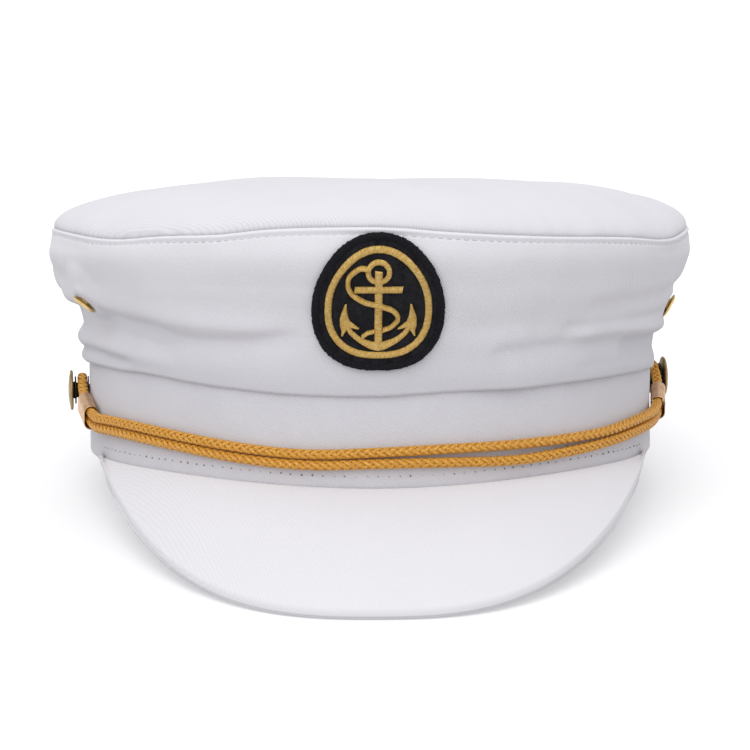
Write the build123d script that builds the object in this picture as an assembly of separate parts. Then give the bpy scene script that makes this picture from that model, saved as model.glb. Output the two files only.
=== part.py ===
from build123d import *
import os
from math import asin, cos, pi, radians, sin, tan

# A soft white cotton cap with a short visor, a gold cord on two side buttons and an
# anchor badge. It stands on a table on its visor's front edge and the back of its band.
# All sizes are in millimetres. +Z is up and the visor points along -Y. The origin is on
# the table, below the middle of the cap.

# ---- Head opening and band ----------------------------------------------------------
HEAD_Y = 17.6             # centre of the head opening, behind the origin
BAND_HALF_LENGTH = 100.5  # outside of the band cover, front to back
BAND_HALF_WIDTH = 91.2    # outside of the band cover, side to side
BAND_TILT = 7.4           # degrees, the front of the band is lifted by the visor
BAND_HEIGHT = 40.0
COVER_THICKNESS = 1.1
STIFFENER_OUTSET = -1.2   # every outset is measured from the outside of the band cover
STIFFENER_THICKNESS = 1.1
SWEATBAND_OUTSET = -3.5
SWEATBAND_THICKNESS = 1.0
SWEATBAND_FROM, SWEATBAND_TO = 0.8, 33.0
BAND_Z = BAND_HALF_LENGTH * sin(radians(BAND_TILT))

# ---- Visor --------------------------------------------------------------------------
VISOR_HALF_WIDTH = 86.5   # where the outer edge runs into the band
VISOR_ROOT_Y = HEAD_Y - 34.4
VISOR_REACH = 111.8       # from the root line to the front edge
VISOR_SQUARENESS = 2.6    # how square the front edge is
VISOR_FULLNESS = 0.75
VISOR_CORNER_RISE = 18.4  # height of the outer edge at the root
VISOR_RISE_POWER = 4.5
VISOR_END_ANGLE = 86      # degrees, the crescent is cut off just short of its points
VISOR_STATIONS = 17
VISOR_SEAM_HEIGHT = 1.0   # height of the seam on the band at the middle of the front
VISOR_SEAM_BUMP = 1.5     # the seam runs this much higher at 45 degrees each side
VISOR_SEAM_GAP = 0.5
VISOR_CLOTH = 0.8
VISOR_BOARD_THICKNESS = 1.6
VISOR_BOARD_INSET = 1.5
VISOR_BOARD_GAP = 0.05
VISOR_THICKNESS = 2 * VISOR_CLOTH + VISOR_BOARD_THICKNESS

# ---- Crown --------------------------------------------------------------------------
# Each section of the crown's side is an ellipse: share of the way up, half width,
# half length, and how far its centre lies behind the head opening's centre.
CROWN_SECTIONS = [
    (0.0, 93.2, 102.7, 3.6),
    (0.2, 94.3, 103.8, 4.6),
    (0.4, 96.2, 105.0, 4.8),
    (0.6, 101.2, 108.0, 3.8),
    (0.8, 104.5, 110.5, 2.5),
    (1.0, 101.5, 107.5, 0.8),
]
CROWN_LOW_Z, CROWN_HIGH_Z = 40.5, 86.0
CROWN_LOW_SLOPE, CROWN_HIGH_SLOPE = 9.0, 11.2
CLOTH = 1.2
HEM_GAP = 0.1
SIDE_SEAM_Y = HEAD_Y + 5.0
TIP_HEIGHT = 17.0
TIP_SQUARENESS = 2.3
TIP_STEPS = [1.0, 0.99, 0.97, 0.93, 0.87, 0.78, 0.66, 0.5, 0.3, 0.1]
LINING_OUTSET = -3.2
LINING_CLOTH = 0.6
LINING_TIP_DROP = 2.6
LINING_GAP = 0.3          # above the band's top edge

# ---- Badge, sewn on the middle of the front -----------------------------------------
BADGE_Z = 83.7
BADGE_HALF_WIDTH, BADGE_HALF_HEIGHT = 19.5, 21.6
EDGE_WIDTH = 2.3
RING_INSET, RING_WIDTH = 4.0, 1.9
FELT_FROM, FELT_TO = 0.1, 1.4
EDGE_TO, THREAD_TO, ROPE_TO = 2.1, 2.1, 2.8
RING_EYE_Y, RING_EYE_RADIUS, RING_EYE_HOLE = 11.6, 2.7, 1.5
STOCK_Y, STOCK_LENGTH, SHANK_WIDTH = 6.2, 13.0, 2.1
ARMS_RADIUS, ARMS_LOW_Y, ARMS_TOP_Y = 11.0, -12.6, -4.8
FLUKE_X, FLUKE_TURN, ROPE_WIDTH = 9.0, 8, 1.5

# ---- Side buttons, on one line across the cap ---------------------------------------
BUTTON_Y, BUTTON_Z = HEAD_Y + 2.0, 33.0
BUTTON_YAW = 4.1          # degrees, the right button sits further back than the left
STEM_RADIUS, STEM_HOLE_GAP = 1.8, 0.15
PLATE_RADIUS, PLATE_FROM, PLATE_TO = 5.0, 88.0, 88.5
FLANGE_RADIUS, FLANGE_FROM, FLANGE_TO = 4.5, 91.5, 91.9
POST_RADIUS = 2.4
COLLAR_RADIUS, COLLAR_FROM, COLLAR_TO = 4.5, 95.6, 96.1
NECK_RADIUS, NECK_TO = 2.7, 96.6
HEAD_RADIUS, HEAD_TO, HEAD_DOME_RADIUS = 6.5, 98.2, 28.0

# ---- Gold cord ----------------------------------------------------------------------
CORD_DIAMETER = 3.2
CORD_ARC_SHARE = 0.45
# The cord's route: it starts inside the right sleeve, runs round the front as the lower
# strand, goes round the left button's post, comes back as the upper strand, goes round
# the right button's post and ends inside the right sleeve.
CORD_ROUTE = [
    (92.9, 5.4, 28.6),
    (91.7, -6.1, 27.0),
    (82.1, -30.6, 29.5),
    (71.9, -46.9, 30.6),
    (57.8, -61.9, 31.5),
    (41.2, -73.4, 32.0),
    (21.2, -81.0, 33.8),
    (0.0, -83.6, 34.2),
    (-21.2, -81.1, 32.9),
    (-41.2, -73.2, 33.1),
    (-57.8, -61.6, 33.4),
    (-71.9, -46.6, 32.6),
    (-82.9, -28.8, 30.5),
    (-88.2, -18.2, 28.6),
    (-92.7, 3.1, 30.7),
    (-93.5, 15.0, 28.2),
    (-93.7, 18.1, 33.4),
    (-93.5, 14.3, 38.1),
    (-92.6, 2.8, 34.0),
    (-88.2, -18.6, 31.8),
    (-82.9, -28.4, 33.7),
    (-71.9, -46.1, 35.9),
    (-57.8, -61.2, 36.6),
    (-41.2, -72.8, 36.4),
    (-21.2, -80.7, 36.1),
    (0.0, -83.2, 37.5),
    (21.2, -80.5, 37.8),
    (41.2, -72.7, 36.8),
    (57.8, -61.3, 35.5),
    (71.9, -46.4, 33.8),
    (82.1, -30.1, 32.9),
    (91.7, -6.6, 30.2),
    (94.1, 16.2, 33.4),
    (93.3, 27.4, 38.1),
    (93.0, 31.5, 33.6),
    (93.2, 28.6, 28.3),
    (94.1, 16.6, 30.2),
    (93.0, 6.0, 28.7),
]

# ---- Sleeves on the doubled cord ----------------------------------------------------
SLEEVE_LENGTH = 13.0
SLEEVE_HEIGHT, SLEEVE_THICKNESS, SLEEVE_WALL = 8.0, 4.7, 0.4
SLEEVE_REAR_GAP = 4.6     # from the place where the two strands part to the sleeve

# ---- Eyelets in the crown's sides ---------------------------------------------------
EYELET_LEVEL = 2          # row of CROWN_SECTIONS that the eyelets sit on
LEFT_EYELET_ANGLES = [67, 97]   # degrees from the front
RIGHT_EYELET_ANGLES = [83, 97]
EYELET_LEAN = 20.8        # degrees, the crown's side faces down by this much there
EYELET_FLANGE_RADIUS, EYELET_BARREL_RADIUS, EYELET_HOLE_RADIUS = 4.2, 2.5, 2.2
EYELET_FLANGE_FROM, EYELET_FLANGE_TO = 0.6, 1.2
EYELET_BARREL_FROM = -2.4
WASHER_RADIUS, WASHER_FROM, WASHER_TO = 4.0, -1.9, -1.5
WASHER_GAP = 0.05
CLOTH_HOLE_RADIUS = 2.7
EYELET_CUT = 8.0

# ---- Blank label inside the back of the sweatband -----------------------------------
LABEL_WIDTH, LABEL_HEIGHT, LABEL_THICKNESS = 34.0, 16.0, 0.4
LABEL_MIDDLE = 17.0

BEYOND = 300.0            # longer than any piece, for cutting tools
LEFT, RIGHT = -1, 1
FRONT, REAR = -1, 1


def band_plane(height):
    """Plane across the band at a height above its lower edge."""
    tilt = radians(BAND_TILT)
    origin = (0, HEAD_Y + height * sin(tilt), BAND_Z + height * cos(tilt))
    return Plane(origin=origin, x_dir=(1, 0, 0), z_dir=(0, sin(tilt), cos(tilt)))


def band_solid(outset, low, high):
    """The band's outline, grown by outset, from one height to another."""
    outline = Ellipse(BAND_HALF_WIDTH + outset, BAND_HALF_LENGTH + outset)
    return extrude(band_plane(low) * outline, high - low)


def band_layer(outset, thickness, low, high):
    """One closed ring of cloth or board that follows the band."""
    return band_solid(outset, low, high) - band_solid(outset - thickness, low - 1, high + 1)


def button_line(side):
    """Axes of one side button: z runs outwards along the common line."""
    yaw = radians(BUTTON_YAW)
    outwards = (side * cos(yaw), side * sin(yaw), 0)
    return Plane(origin=(0, BUTTON_Y, BUTTON_Z), x_dir=(0, 0, 1), z_dir=outwards)


def disc(frame, radius, start, end):
    """A round disc or rod on a frame's z axis."""
    return frame * Pos(0, 0, start) * Cylinder(
        radius, end - start, align=(Align.CENTER, Align.CENTER, Align.MIN)
    )


def stem_holes():
    """The two holes that the buttons' stems go through."""
    radius = STEM_RADIUS + STEM_HOLE_GAP
    return [disc(button_line(side), radius, PLATE_FROM, FLANGE_TO) for side in (LEFT, RIGHT)]


def band_cover():
    return band_layer(0, COVER_THICKNESS, 0, BAND_HEIGHT) - stem_holes()


def band_stiffener():
    return band_layer(STIFFENER_OUTSET, STIFFENER_THICKNESS, 0.6, BAND_HEIGHT - 0.6) - stem_holes()


def sweatband():
    return band_layer(SWEATBAND_OUTSET, SWEATBAND_THICKNESS, SWEATBAND_FROM, SWEATBAND_TO)


def size_label():
    """A blank woven label on the inside of the sweatband, at the back."""
    outset = SWEATBAND_OUTSET - SWEATBAND_THICKNESS - 0.05
    low = LABEL_MIDDLE - LABEL_HEIGHT / 2
    ring = band_layer(outset, LABEL_THICKNESS, low, low + LABEL_HEIGHT)
    back = Pos(0, HEAD_Y + BEYOND / 2, 0) * Box(LABEL_WIDTH, BEYOND, BEYOND)
    return ring & back


def visor_seam_point(share):
    """Point of the seam on the band; share runs from -1, left, to 1, right."""
    tilt = radians(BAND_TILT)
    x = VISOR_HALF_WIDTH * share
    angle = asin(x / (BAND_HALF_WIDTH + VISOR_SEAM_GAP))
    height = VISOR_SEAM_HEIGHT + VISOR_SEAM_BUMP * sin(2 * angle) ** 2
    along = -(BAND_HALF_LENGTH + VISOR_SEAM_GAP) * cos(angle)
    y = HEAD_Y + along * cos(tilt) + height * sin(tilt)
    z = BAND_Z - along * sin(tilt) + height * cos(tilt)
    return Vector(x, y, z - VISOR_THICKNESS)


def visor_edge_point(share, inset):
    """Point of the outer edge, moved back towards the band by inset."""
    x = VISOR_HALF_WIDTH * share
    reach = (1 - abs(share) ** VISOR_SQUARENESS) ** VISOR_FULLNESS
    y = VISOR_ROOT_Y - VISOR_REACH * reach
    z = VISOR_CORNER_RISE * abs(share) ** VISOR_RISE_POWER
    edge = Vector(x, y, z)
    seam = visor_seam_point(share)
    run = (seam - edge).length
    return edge + (seam - edge) * (min(inset, 0.4 * run) / run)


def visor_layer(lift, thickness, inset=0.0):
    """One layer of the visor: ruled from the seam to the outer edge, then thickened."""
    steps = [2 * k / (VISOR_STATIONS - 1) - 1 for k in range(VISOR_STATIONS)]
    shares = [sin(radians(VISOR_END_ANGLE * step)) for step in steps]
    raised = Vector(0, 0, lift)
    seam = [visor_seam_point(share) + raised for share in shares]
    edge = [visor_edge_point(share, inset) + raised for share in shares]
    seam_curve = Edge.make_spline(seam, parameters=steps)
    edge_curve = Edge.make_spline(edge, parameters=steps)
    surface = Face.make_surface_from_curves(seam_curve, edge_curve)
    return Solid.extrude(surface, Vector(0, 0, thickness))


def visor_under_cover():
    return visor_layer(0, VISOR_CLOTH)


def visor_board():
    thickness = VISOR_BOARD_THICKNESS - 2 * VISOR_BOARD_GAP
    return visor_layer(VISOR_CLOTH + VISOR_BOARD_GAP, thickness, VISOR_BOARD_INSET)


def visor_top_cover():
    return visor_layer(VISOR_CLOTH + VISOR_BOARD_THICKNESS, VISOR_CLOTH)


def crown_plane(share, centre_y):
    """Plane of one section of the crown's side."""
    slope = radians(CROWN_LOW_SLOPE + share * (CROWN_HIGH_SLOPE - CROWN_LOW_SLOPE))
    origin = (0, HEAD_Y + centre_y, CROWN_LOW_Z + share * (CROWN_HIGH_Z - CROWN_LOW_Z))
    return Plane(origin=origin, x_dir=(1, 0, 0), z_dir=(0, sin(slope), cos(slope)))


def crown_solid(outset):
    """The space inside the crown's side, grown by outset."""
    sections = [
        crown_plane(share, centre_y) * Ellipse(half_width + outset, half_length + outset)
        for share, half_width, half_length, centre_y in CROWN_SECTIONS
    ]
    return loft(sections)


def crown_hem():
    """The bottom of the pouch, turned in until it meets the band."""
    share, half_width, half_length, centre_y = CROWN_SECTIONS[0]
    outline = Ellipse(half_width - CLOTH / 2, half_length - CLOTH / 2)
    hem = extrude(crown_plane(share, centre_y) * outline, CLOTH)
    return hem - band_solid(HEM_GAP, 0, 2 * BAND_HEIGHT)


def eyelet_frames(side):
    """Axes of the eyelets on one side of the crown: z points out of the cloth."""
    share, half_width, half_length, centre_y = CROWN_SECTIONS[EYELET_LEVEL]
    section = crown_plane(share, centre_y)
    lean = radians(EYELET_LEAN)
    frames = []
    angles = LEFT_EYELET_ANGLES if side == LEFT else RIGHT_EYELET_ANGLES
    for degrees_from_front in angles:
        angle = radians(degrees_from_front)
        across, along = side * half_width * sin(angle), -half_length * cos(angle)
        spot = section.from_local_coords(Vector(across, along, 0))
        flat = Vector(across / half_width**2, along / half_length**2, 0).normalized()
        out = flat * cos(lean) - Vector(0, 0, sin(lean))
        frames.append(Plane(origin=spot, z_dir=out))
    return frames


def crown_wall():
    """The crown's whole side with its hem and its eyelet holes."""
    wall = crown_solid(0) - crown_solid(-CLOTH) + crown_hem()
    for side in (LEFT, RIGHT):
        for frame in eyelet_frames(side):
            wall = wall - disc(frame, CLOTH_HOLE_RADIUS, -EYELET_CUT, EYELET_CUT)
    return wall


def crown_panel(wall, direction):
    """The half of the side in front of, or behind, the two side seams."""
    half = Pos(0, SIDE_SEAM_Y + direction * BEYOND / 2, BAND_Z) * Box(2 * BEYOND, BEYOND, 2 * BEYOND)
    return wall & half


def tip_solid(outset, height):
    """The pillow-shaped space above the top seam."""
    share, half_width, half_length, centre_y = CROWN_SECTIONS[-1]
    base = crown_plane(share, centre_y)
    sections = []
    for step in TIP_STEPS:
        rise = height * (1 - step**TIP_SQUARENESS) ** (1 / TIP_SQUARENESS)
        outline = Ellipse((half_width + outset) * step, (half_length + outset) * step)
        sections.append(base * Pos(0, 0, rise) * outline)
    return loft(sections, ruled=True)


def crown_tip():
    return tip_solid(0, TIP_HEIGHT) - tip_solid(-CLOTH, TIP_HEIGHT - CLOTH)


def crown_lining_tip():
    height = TIP_HEIGHT - LINING_TIP_DROP
    outer = tip_solid(LINING_OUTSET, height)
    return outer - tip_solid(LINING_OUTSET - LINING_CLOTH, height - LINING_CLOTH)


def crown_lining_wall():
    """Lining of the crown's side, with a flat rim that lies on the band's top edge."""
    low = BAND_HEIGHT + LINING_GAP
    above = band_solid(BEYOND, low, low + BEYOND)
    shell = crown_solid(LINING_OUTSET) - crown_solid(LINING_OUTSET - LINING_CLOTH)
    rim = band_solid(BEYOND, low, low + LINING_CLOTH) & crown_solid(LINING_OUTSET)
    rim = rim - band_solid(STIFFENER_OUTSET - STIFFENER_THICKNESS, low - 5, low + 5)
    return (shell & above) + rim


def badge_layer(outline, start, end):
    """A flat outline wrapped on the front of the crown between two outsets."""
    sheet = Plane(origin=(0, HEAD_Y - 60, BADGE_Z), x_dir=(1, 0, 0), z_dir=(0, -1, 0))
    prism = extrude(sheet * outline, BEYOND)
    return (prism & crown_solid(end)) - crown_solid(start)


def badge_oval(inset):
    return Ellipse(BADGE_HALF_WIDTH - inset, BADGE_HALF_HEIGHT - inset)


def badge_felt():
    return badge_layer(badge_oval(EDGE_WIDTH), FELT_FROM, FELT_TO)


def badge_merrow_edge():
    return badge_layer(badge_oval(0) - badge_oval(EDGE_WIDTH), FELT_FROM, EDGE_TO)


def badge_ring():
    outline = badge_oval(RING_INSET) - badge_oval(RING_INSET + RING_WIDTH)
    return badge_layer(outline, FELT_TO, THREAD_TO)


def anchor_outline():
    """Anchor with a ring, a straight stock and two curved arms with barbed flukes."""
    ring = Pos(0, RING_EYE_Y) * (Circle(RING_EYE_RADIUS) - Circle(RING_EYE_HOLE))
    shank_top = RING_EYE_Y - RING_EYE_HOLE
    shank = Pos(0, (shank_top + ARMS_LOW_Y) / 2) * Rectangle(SHANK_WIDTH, shank_top - ARMS_LOW_Y)
    stock = Pos(0, STOCK_Y) * Rectangle(STOCK_LENGTH, SHANK_WIDTH)
    hoop = Circle(ARMS_RADIUS) - Circle(ARMS_RADIUS - SHANK_WIDTH)
    below = Pos(0, ARMS_TOP_Y - ARMS_RADIUS) * Rectangle(3 * ARMS_RADIUS, 2 * ARMS_RADIUS)
    arms = Pos(0, ARMS_LOW_Y + ARMS_RADIUS) * hoop & below
    fluke = Polygon((-2.9, -2.2), (2.5, -3.0), (0.2, 3.8), align=None)
    left = Pos(-FLUKE_X, ARMS_TOP_Y) * Rot(0, 0, FLUKE_TURN) * fluke
    right = mirror(left, Plane.YZ)
    foot = Pos(0, ARMS_LOW_Y) * Polygon((-2.6, 1.4), (2.6, 1.4), (0, -1.6), align=None)
    return ring + shank + stock + arms + left + right + foot


def rope_outline():
    """Rope that leaves the ring, crosses the shank and comes back to the arms."""
    path = Spline((-1.6, 13.9), (-7.6, 10.2), (-7.4, 3.2), (0, 0.4), (4.8, -4.0), (1.4, -8.0))
    return trace(path, ROPE_WIDTH)


def badge_anchor():
    return badge_layer(anchor_outline(), FELT_TO, THREAD_TO)


def badge_rope(anchor):
    return badge_layer(rope_outline(), FELT_TO, ROPE_TO) - anchor


def button_shank(side):
    """Black shank: stem through the band, flange, post for the cord, collar and neck."""
    line = button_line(side)
    stem = disc(line, STEM_RADIUS, PLATE_TO, FLANGE_FROM)
    flange = disc(line, FLANGE_RADIUS, FLANGE_FROM, FLANGE_TO)
    post = disc(line, POST_RADIUS, FLANGE_TO, COLLAR_FROM)
    collar = disc(line, COLLAR_RADIUS, COLLAR_FROM, COLLAR_TO)
    neck = disc(line, NECK_RADIUS, COLLAR_TO, NECK_TO)
    return stem + flange + post + collar + neck


def button_head(side):
    """Domed brass disc on the end of the shank."""
    line = button_line(side)
    blank = disc(line, HEAD_RADIUS, NECK_TO, HEAD_TO)
    return blank & (line * Pos(0, 0, HEAD_TO - HEAD_DOME_RADIUS) * Sphere(HEAD_DOME_RADIUS))


def button_back(side):
    """Retaining plate on the inner end of the stem, behind the band's stiffener."""
    return disc(button_line(side), PLATE_RADIUS, PLATE_FROM, PLATE_TO)


def turn_at(before, corner, after):
    """Angle in degrees that the route turns through at a corner."""
    return (corner - before).get_angle(after - corner)


def cord_path():
    """Straight runs joined by arcs as large as the runs allow."""
    points = [Vector(*point) for point in CORD_ROUTE]
    radii = []
    for before, corner, after in zip(points, points[1:], points[2:]):
        shorter = min((corner - before).length, (after - corner).length)
        half_turn = radians(turn_at(before, corner, after) / 2)
        radii.append(CORD_ARC_SHARE * shorter / tan(half_turn))
    return FilletPolyline(*points, radius=radii), radii


def gold_cord():
    path, radii = cord_path()
    section = Plane(origin=path @ 0, z_dir=path % 0) * Circle(CORD_DIAMETER / 2)
    tube = sweep(section, path=path)
    expected = pi * (CORD_DIAMETER / 2) ** 2 * path.length
    print("cord radii, mm:", [round(radius, 1) for radius in radii])
    print("cord length, mm:", round(path.length, 1))
    print("cord volume over section times length:", round(tube.volume / expected, 4))
    return tube


def strand_middle(first, second):
    return (Vector(*CORD_ROUTE[first]) + Vector(*CORD_ROUTE[second])) / 2


def cord_sleeve(part_here, bend_here):
    """Flat brass tube round both strands, between where they part and where they bend."""
    rear = strand_middle(*part_here)
    front = strand_middle(*bend_here)
    forward = (front - rear).normalized()
    start = rear + forward * SLEEVE_REAR_GAP
    upright = Vector(0, 0, 1) - forward * forward.Z
    frame = Plane(origin=start, x_dir=upright.normalized(), z_dir=forward)
    outer = SlotOverall(SLEEVE_HEIGHT, SLEEVE_THICKNESS)
    inner = SlotOverall(SLEEVE_HEIGHT - 2 * SLEEVE_WALL, SLEEVE_THICKNESS - 2 * SLEEVE_WALL)
    print("sleeve slides along", [round(c, 4) for c in -forward])
    return extrude(frame * (outer - inner), SLEEVE_LENGTH)


def eyelets(side):
    """The brass eyelets of one side: a flange outside and a barrel through the cloth."""
    pieces = []
    for frame in eyelet_frames(side):
        flange = disc(frame, EYELET_FLANGE_RADIUS, EYELET_FLANGE_FROM, EYELET_FLANGE_TO)
        barrel = disc(frame, EYELET_BARREL_RADIUS, EYELET_BARREL_FROM, EYELET_FLANGE_FROM)
        hole = disc(frame, EYELET_HOLE_RADIUS, -EYELET_CUT, EYELET_CUT)
        pieces.append(flange + barrel - hole)
    return pieces


def eyelet_washers(side):
    """The rings that the eyelets' barrels are rolled over inside the crown."""
    return [
        disc(frame, WASHER_RADIUS, WASHER_FROM, WASHER_TO)
        - disc(frame, EYELET_BARREL_RADIUS + WASHER_GAP, -EYELET_CUT, EYELET_CUT)
        for frame in eyelet_frames(side)
    ]


def as_group(pieces):
    return Compound(children=[piece.solid() for piece in pieces])


def build_parts():
    wall = crown_wall()
    anchor = badge_anchor()
    parts = {
        "band_cover": band_cover(),
        "band_stiffener": band_stiffener(),
        "sweatband": sweatband(),
        "size_label": size_label(),
        "visor_under_cover": visor_under_cover(),
        "visor_board": visor_board(),
        "visor_top_cover": visor_top_cover(),
        "crown_front_panel": crown_panel(wall, FRONT),
        "crown_rear_panel": crown_panel(wall, REAR),
        "crown_tip": crown_tip(),
        "crown_lining_wall": crown_lining_wall(),
        "crown_lining_tip": crown_lining_tip(),
        "badge_felt": badge_felt(),
        "badge_merrow_edge": badge_merrow_edge(),
        "badge_ring": badge_ring(),
        "badge_anchor": anchor,
        "badge_rope": badge_rope(anchor),
        "gold_cord": gold_cord(),
        "cord_sleeve_left": cord_sleeve((14, 18), (13, 19)),
        "cord_sleeve_right": cord_sleeve((36, 32), (1, 31)),
    }
    for name, side in (("left", LEFT), ("right", RIGHT)):
        parts["button_shank_" + name] = button_shank(side)
        parts["button_head_" + name] = button_head(side)
        parts["button_back_" + name] = button_back(side)
        parts["crown_eyelets_" + name] = as_group(eyelets(side))
        parts["eyelet_washers_" + name] = as_group(eyelet_washers(side))
    return parts


os.makedirs("parts", exist_ok=True)
for node, shape in build_parts().items():
    export_step(shape, "parts/" + node + ".step")
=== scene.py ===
from math import cos, pi, radians, sin, sqrt

import bpy
import numpy as np
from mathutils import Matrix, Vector


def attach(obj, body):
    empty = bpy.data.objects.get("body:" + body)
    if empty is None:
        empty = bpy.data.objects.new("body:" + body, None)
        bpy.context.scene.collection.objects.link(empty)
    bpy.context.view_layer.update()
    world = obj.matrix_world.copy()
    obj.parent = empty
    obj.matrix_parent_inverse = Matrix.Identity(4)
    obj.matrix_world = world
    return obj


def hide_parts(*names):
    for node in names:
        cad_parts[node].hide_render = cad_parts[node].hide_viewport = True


# A soft white cotton cap. Sizes are in millimetres until a mesh is made; the floor and the camera
# are in metres.
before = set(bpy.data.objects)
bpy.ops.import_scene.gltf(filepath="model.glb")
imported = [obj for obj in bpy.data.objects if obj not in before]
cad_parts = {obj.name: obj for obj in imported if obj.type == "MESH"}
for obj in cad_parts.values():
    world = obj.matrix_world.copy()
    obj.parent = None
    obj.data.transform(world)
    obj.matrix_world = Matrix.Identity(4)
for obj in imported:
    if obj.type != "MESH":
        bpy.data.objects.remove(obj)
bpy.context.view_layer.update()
MM = 0.001

# ---- Sizes shared with the CAD model --------------------------------------------------
HEAD_Y = 17.6
BAND_A, BAND_B, BAND_TILT, BAND_HEIGHT = 91.2, 100.5, radians(7.4), 40.0
BAND_Z = BAND_B * sin(BAND_TILT)
VISOR_HALF, VISOR_ROOT_Y, VISOR_REACH = 86.5, HEAD_Y - 34.4, 111.8
VISOR_SEAM, VISOR_BUMP, VISOR_GAP, VISOR_THICK = 1.0, 1.5, 0.5, 3.2
SECTIONS = np.array([
    (0.0, 93.2, 102.7, 3.6), (0.2, 94.3, 103.8, 4.6), (0.4, 96.2, 105.0, 4.8),
    (0.6, 101.2, 108.0, 3.8), (0.8, 104.5, 110.5, 2.5), (1.0, 101.5, 107.5, 0.8)])
LOW_Z, HIGH_Z, LOW_SLOPE, HIGH_SLOPE = 40.5, 86.0, 9.0, 11.2
WALL_LENGTH = HIGH_Z - LOW_Z
TIP_HEIGHT, TIP_POWER = 17.0, 2.3
BADGE_Z, BADGE_A, BADGE_B = 83.7, 19.5, 21.6
BUTTON_Y, BUTTON_Z, BUTTON_YAW = HEAD_Y + 2.0, 33.0, radians(4.1)
CORD_ROUTE = [
    (92.9, 5.4, 28.6), (91.7, -6.1, 27.0), (82.1, -30.6, 29.5), (71.9, -46.9, 30.6),
    (57.8, -61.9, 31.5), (41.2, -73.4, 32.0), (21.2, -81.0, 33.8), (0.0, -83.6, 34.2),
    (-21.2, -81.1, 32.9), (-41.2, -73.2, 33.1), (-57.8, -61.6, 33.4), (-71.9, -46.6, 32.6),
    (-82.9, -28.8, 30.5), (-88.2, -18.2, 28.6), (-92.7, 3.1, 30.7), (-93.5, 15.0, 28.2),
    (-93.7, 18.1, 33.4), (-93.5, 14.3, 38.1), (-92.6, 2.8, 34.0), (-88.2, -18.6, 31.8),
    (-82.9, -28.4, 33.7), (-71.9, -46.1, 35.9), (-57.8, -61.2, 36.6), (-41.2, -72.8, 36.4),
    (-21.2, -80.7, 36.1), (0.0, -83.2, 37.5), (21.2, -80.5, 37.8), (41.2, -72.7, 36.8),
    (57.8, -61.3, 35.5), (71.9, -46.4, 33.8), (82.1, -30.1, 32.9), (91.7, -6.6, 30.2),
    (94.1, 16.2, 33.4), (93.3, 27.4, 38.1), (93.0, 31.5, 33.6), (93.2, 28.6, 28.3),
    (94.1, 16.6, 30.2), (93.0, 6.0, 28.7)]

# ---- Small tools ----------------------------------------------------------------------


def unit(v):
    return v / np.maximum(np.linalg.norm(v, axis=-1, keepdims=True), 1e-12)


def smooth(t):
    t = np.clip(t, 0, 1)
    return t * t * (3 - 2 * t)


def run_along(points):
    """Distance walked along a line of points, at each of them."""
    return np.concatenate([[0], np.cumsum(np.linalg.norm(np.diff(points, axis=0), axis=1))])


def lattice(rows, columns):
    """Pairs of values for a grid of points."""
    return np.stack(np.meshgrid(rows, columns, indexing="ij"), -1)


def noise2(u, v, seed):
    """Smooth noise from about -1 to 1, one lump per unit of u and v."""
    rng = np.random.default_rng(seed)
    table = rng.uniform(-1, 1, (64, 64))
    iu, iv = np.floor(u).astype(int), np.floor(v).astype(int)
    fu, fv = smooth(u - iu), smooth(v - iv)

    def at(a, b):
        return table[(iu + a) % 64, (iv + b) % 64]

    low = at(0, 0) * (1 - fu) + at(1, 0) * fu
    high = at(0, 1) * (1 - fu) + at(1, 1) * fu
    return low * (1 - fv) + high * fv


def new_object(name, pile, body, material, replaces=()):
    mesh = pile.mesh(name)
    obj = bpy.data.objects.new(name, mesh)
    bpy.context.scene.collection.objects.link(obj)
    mesh.materials.append(material)
    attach(obj, body)
    if replaces:
        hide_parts(*replaces)
    return obj


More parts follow.
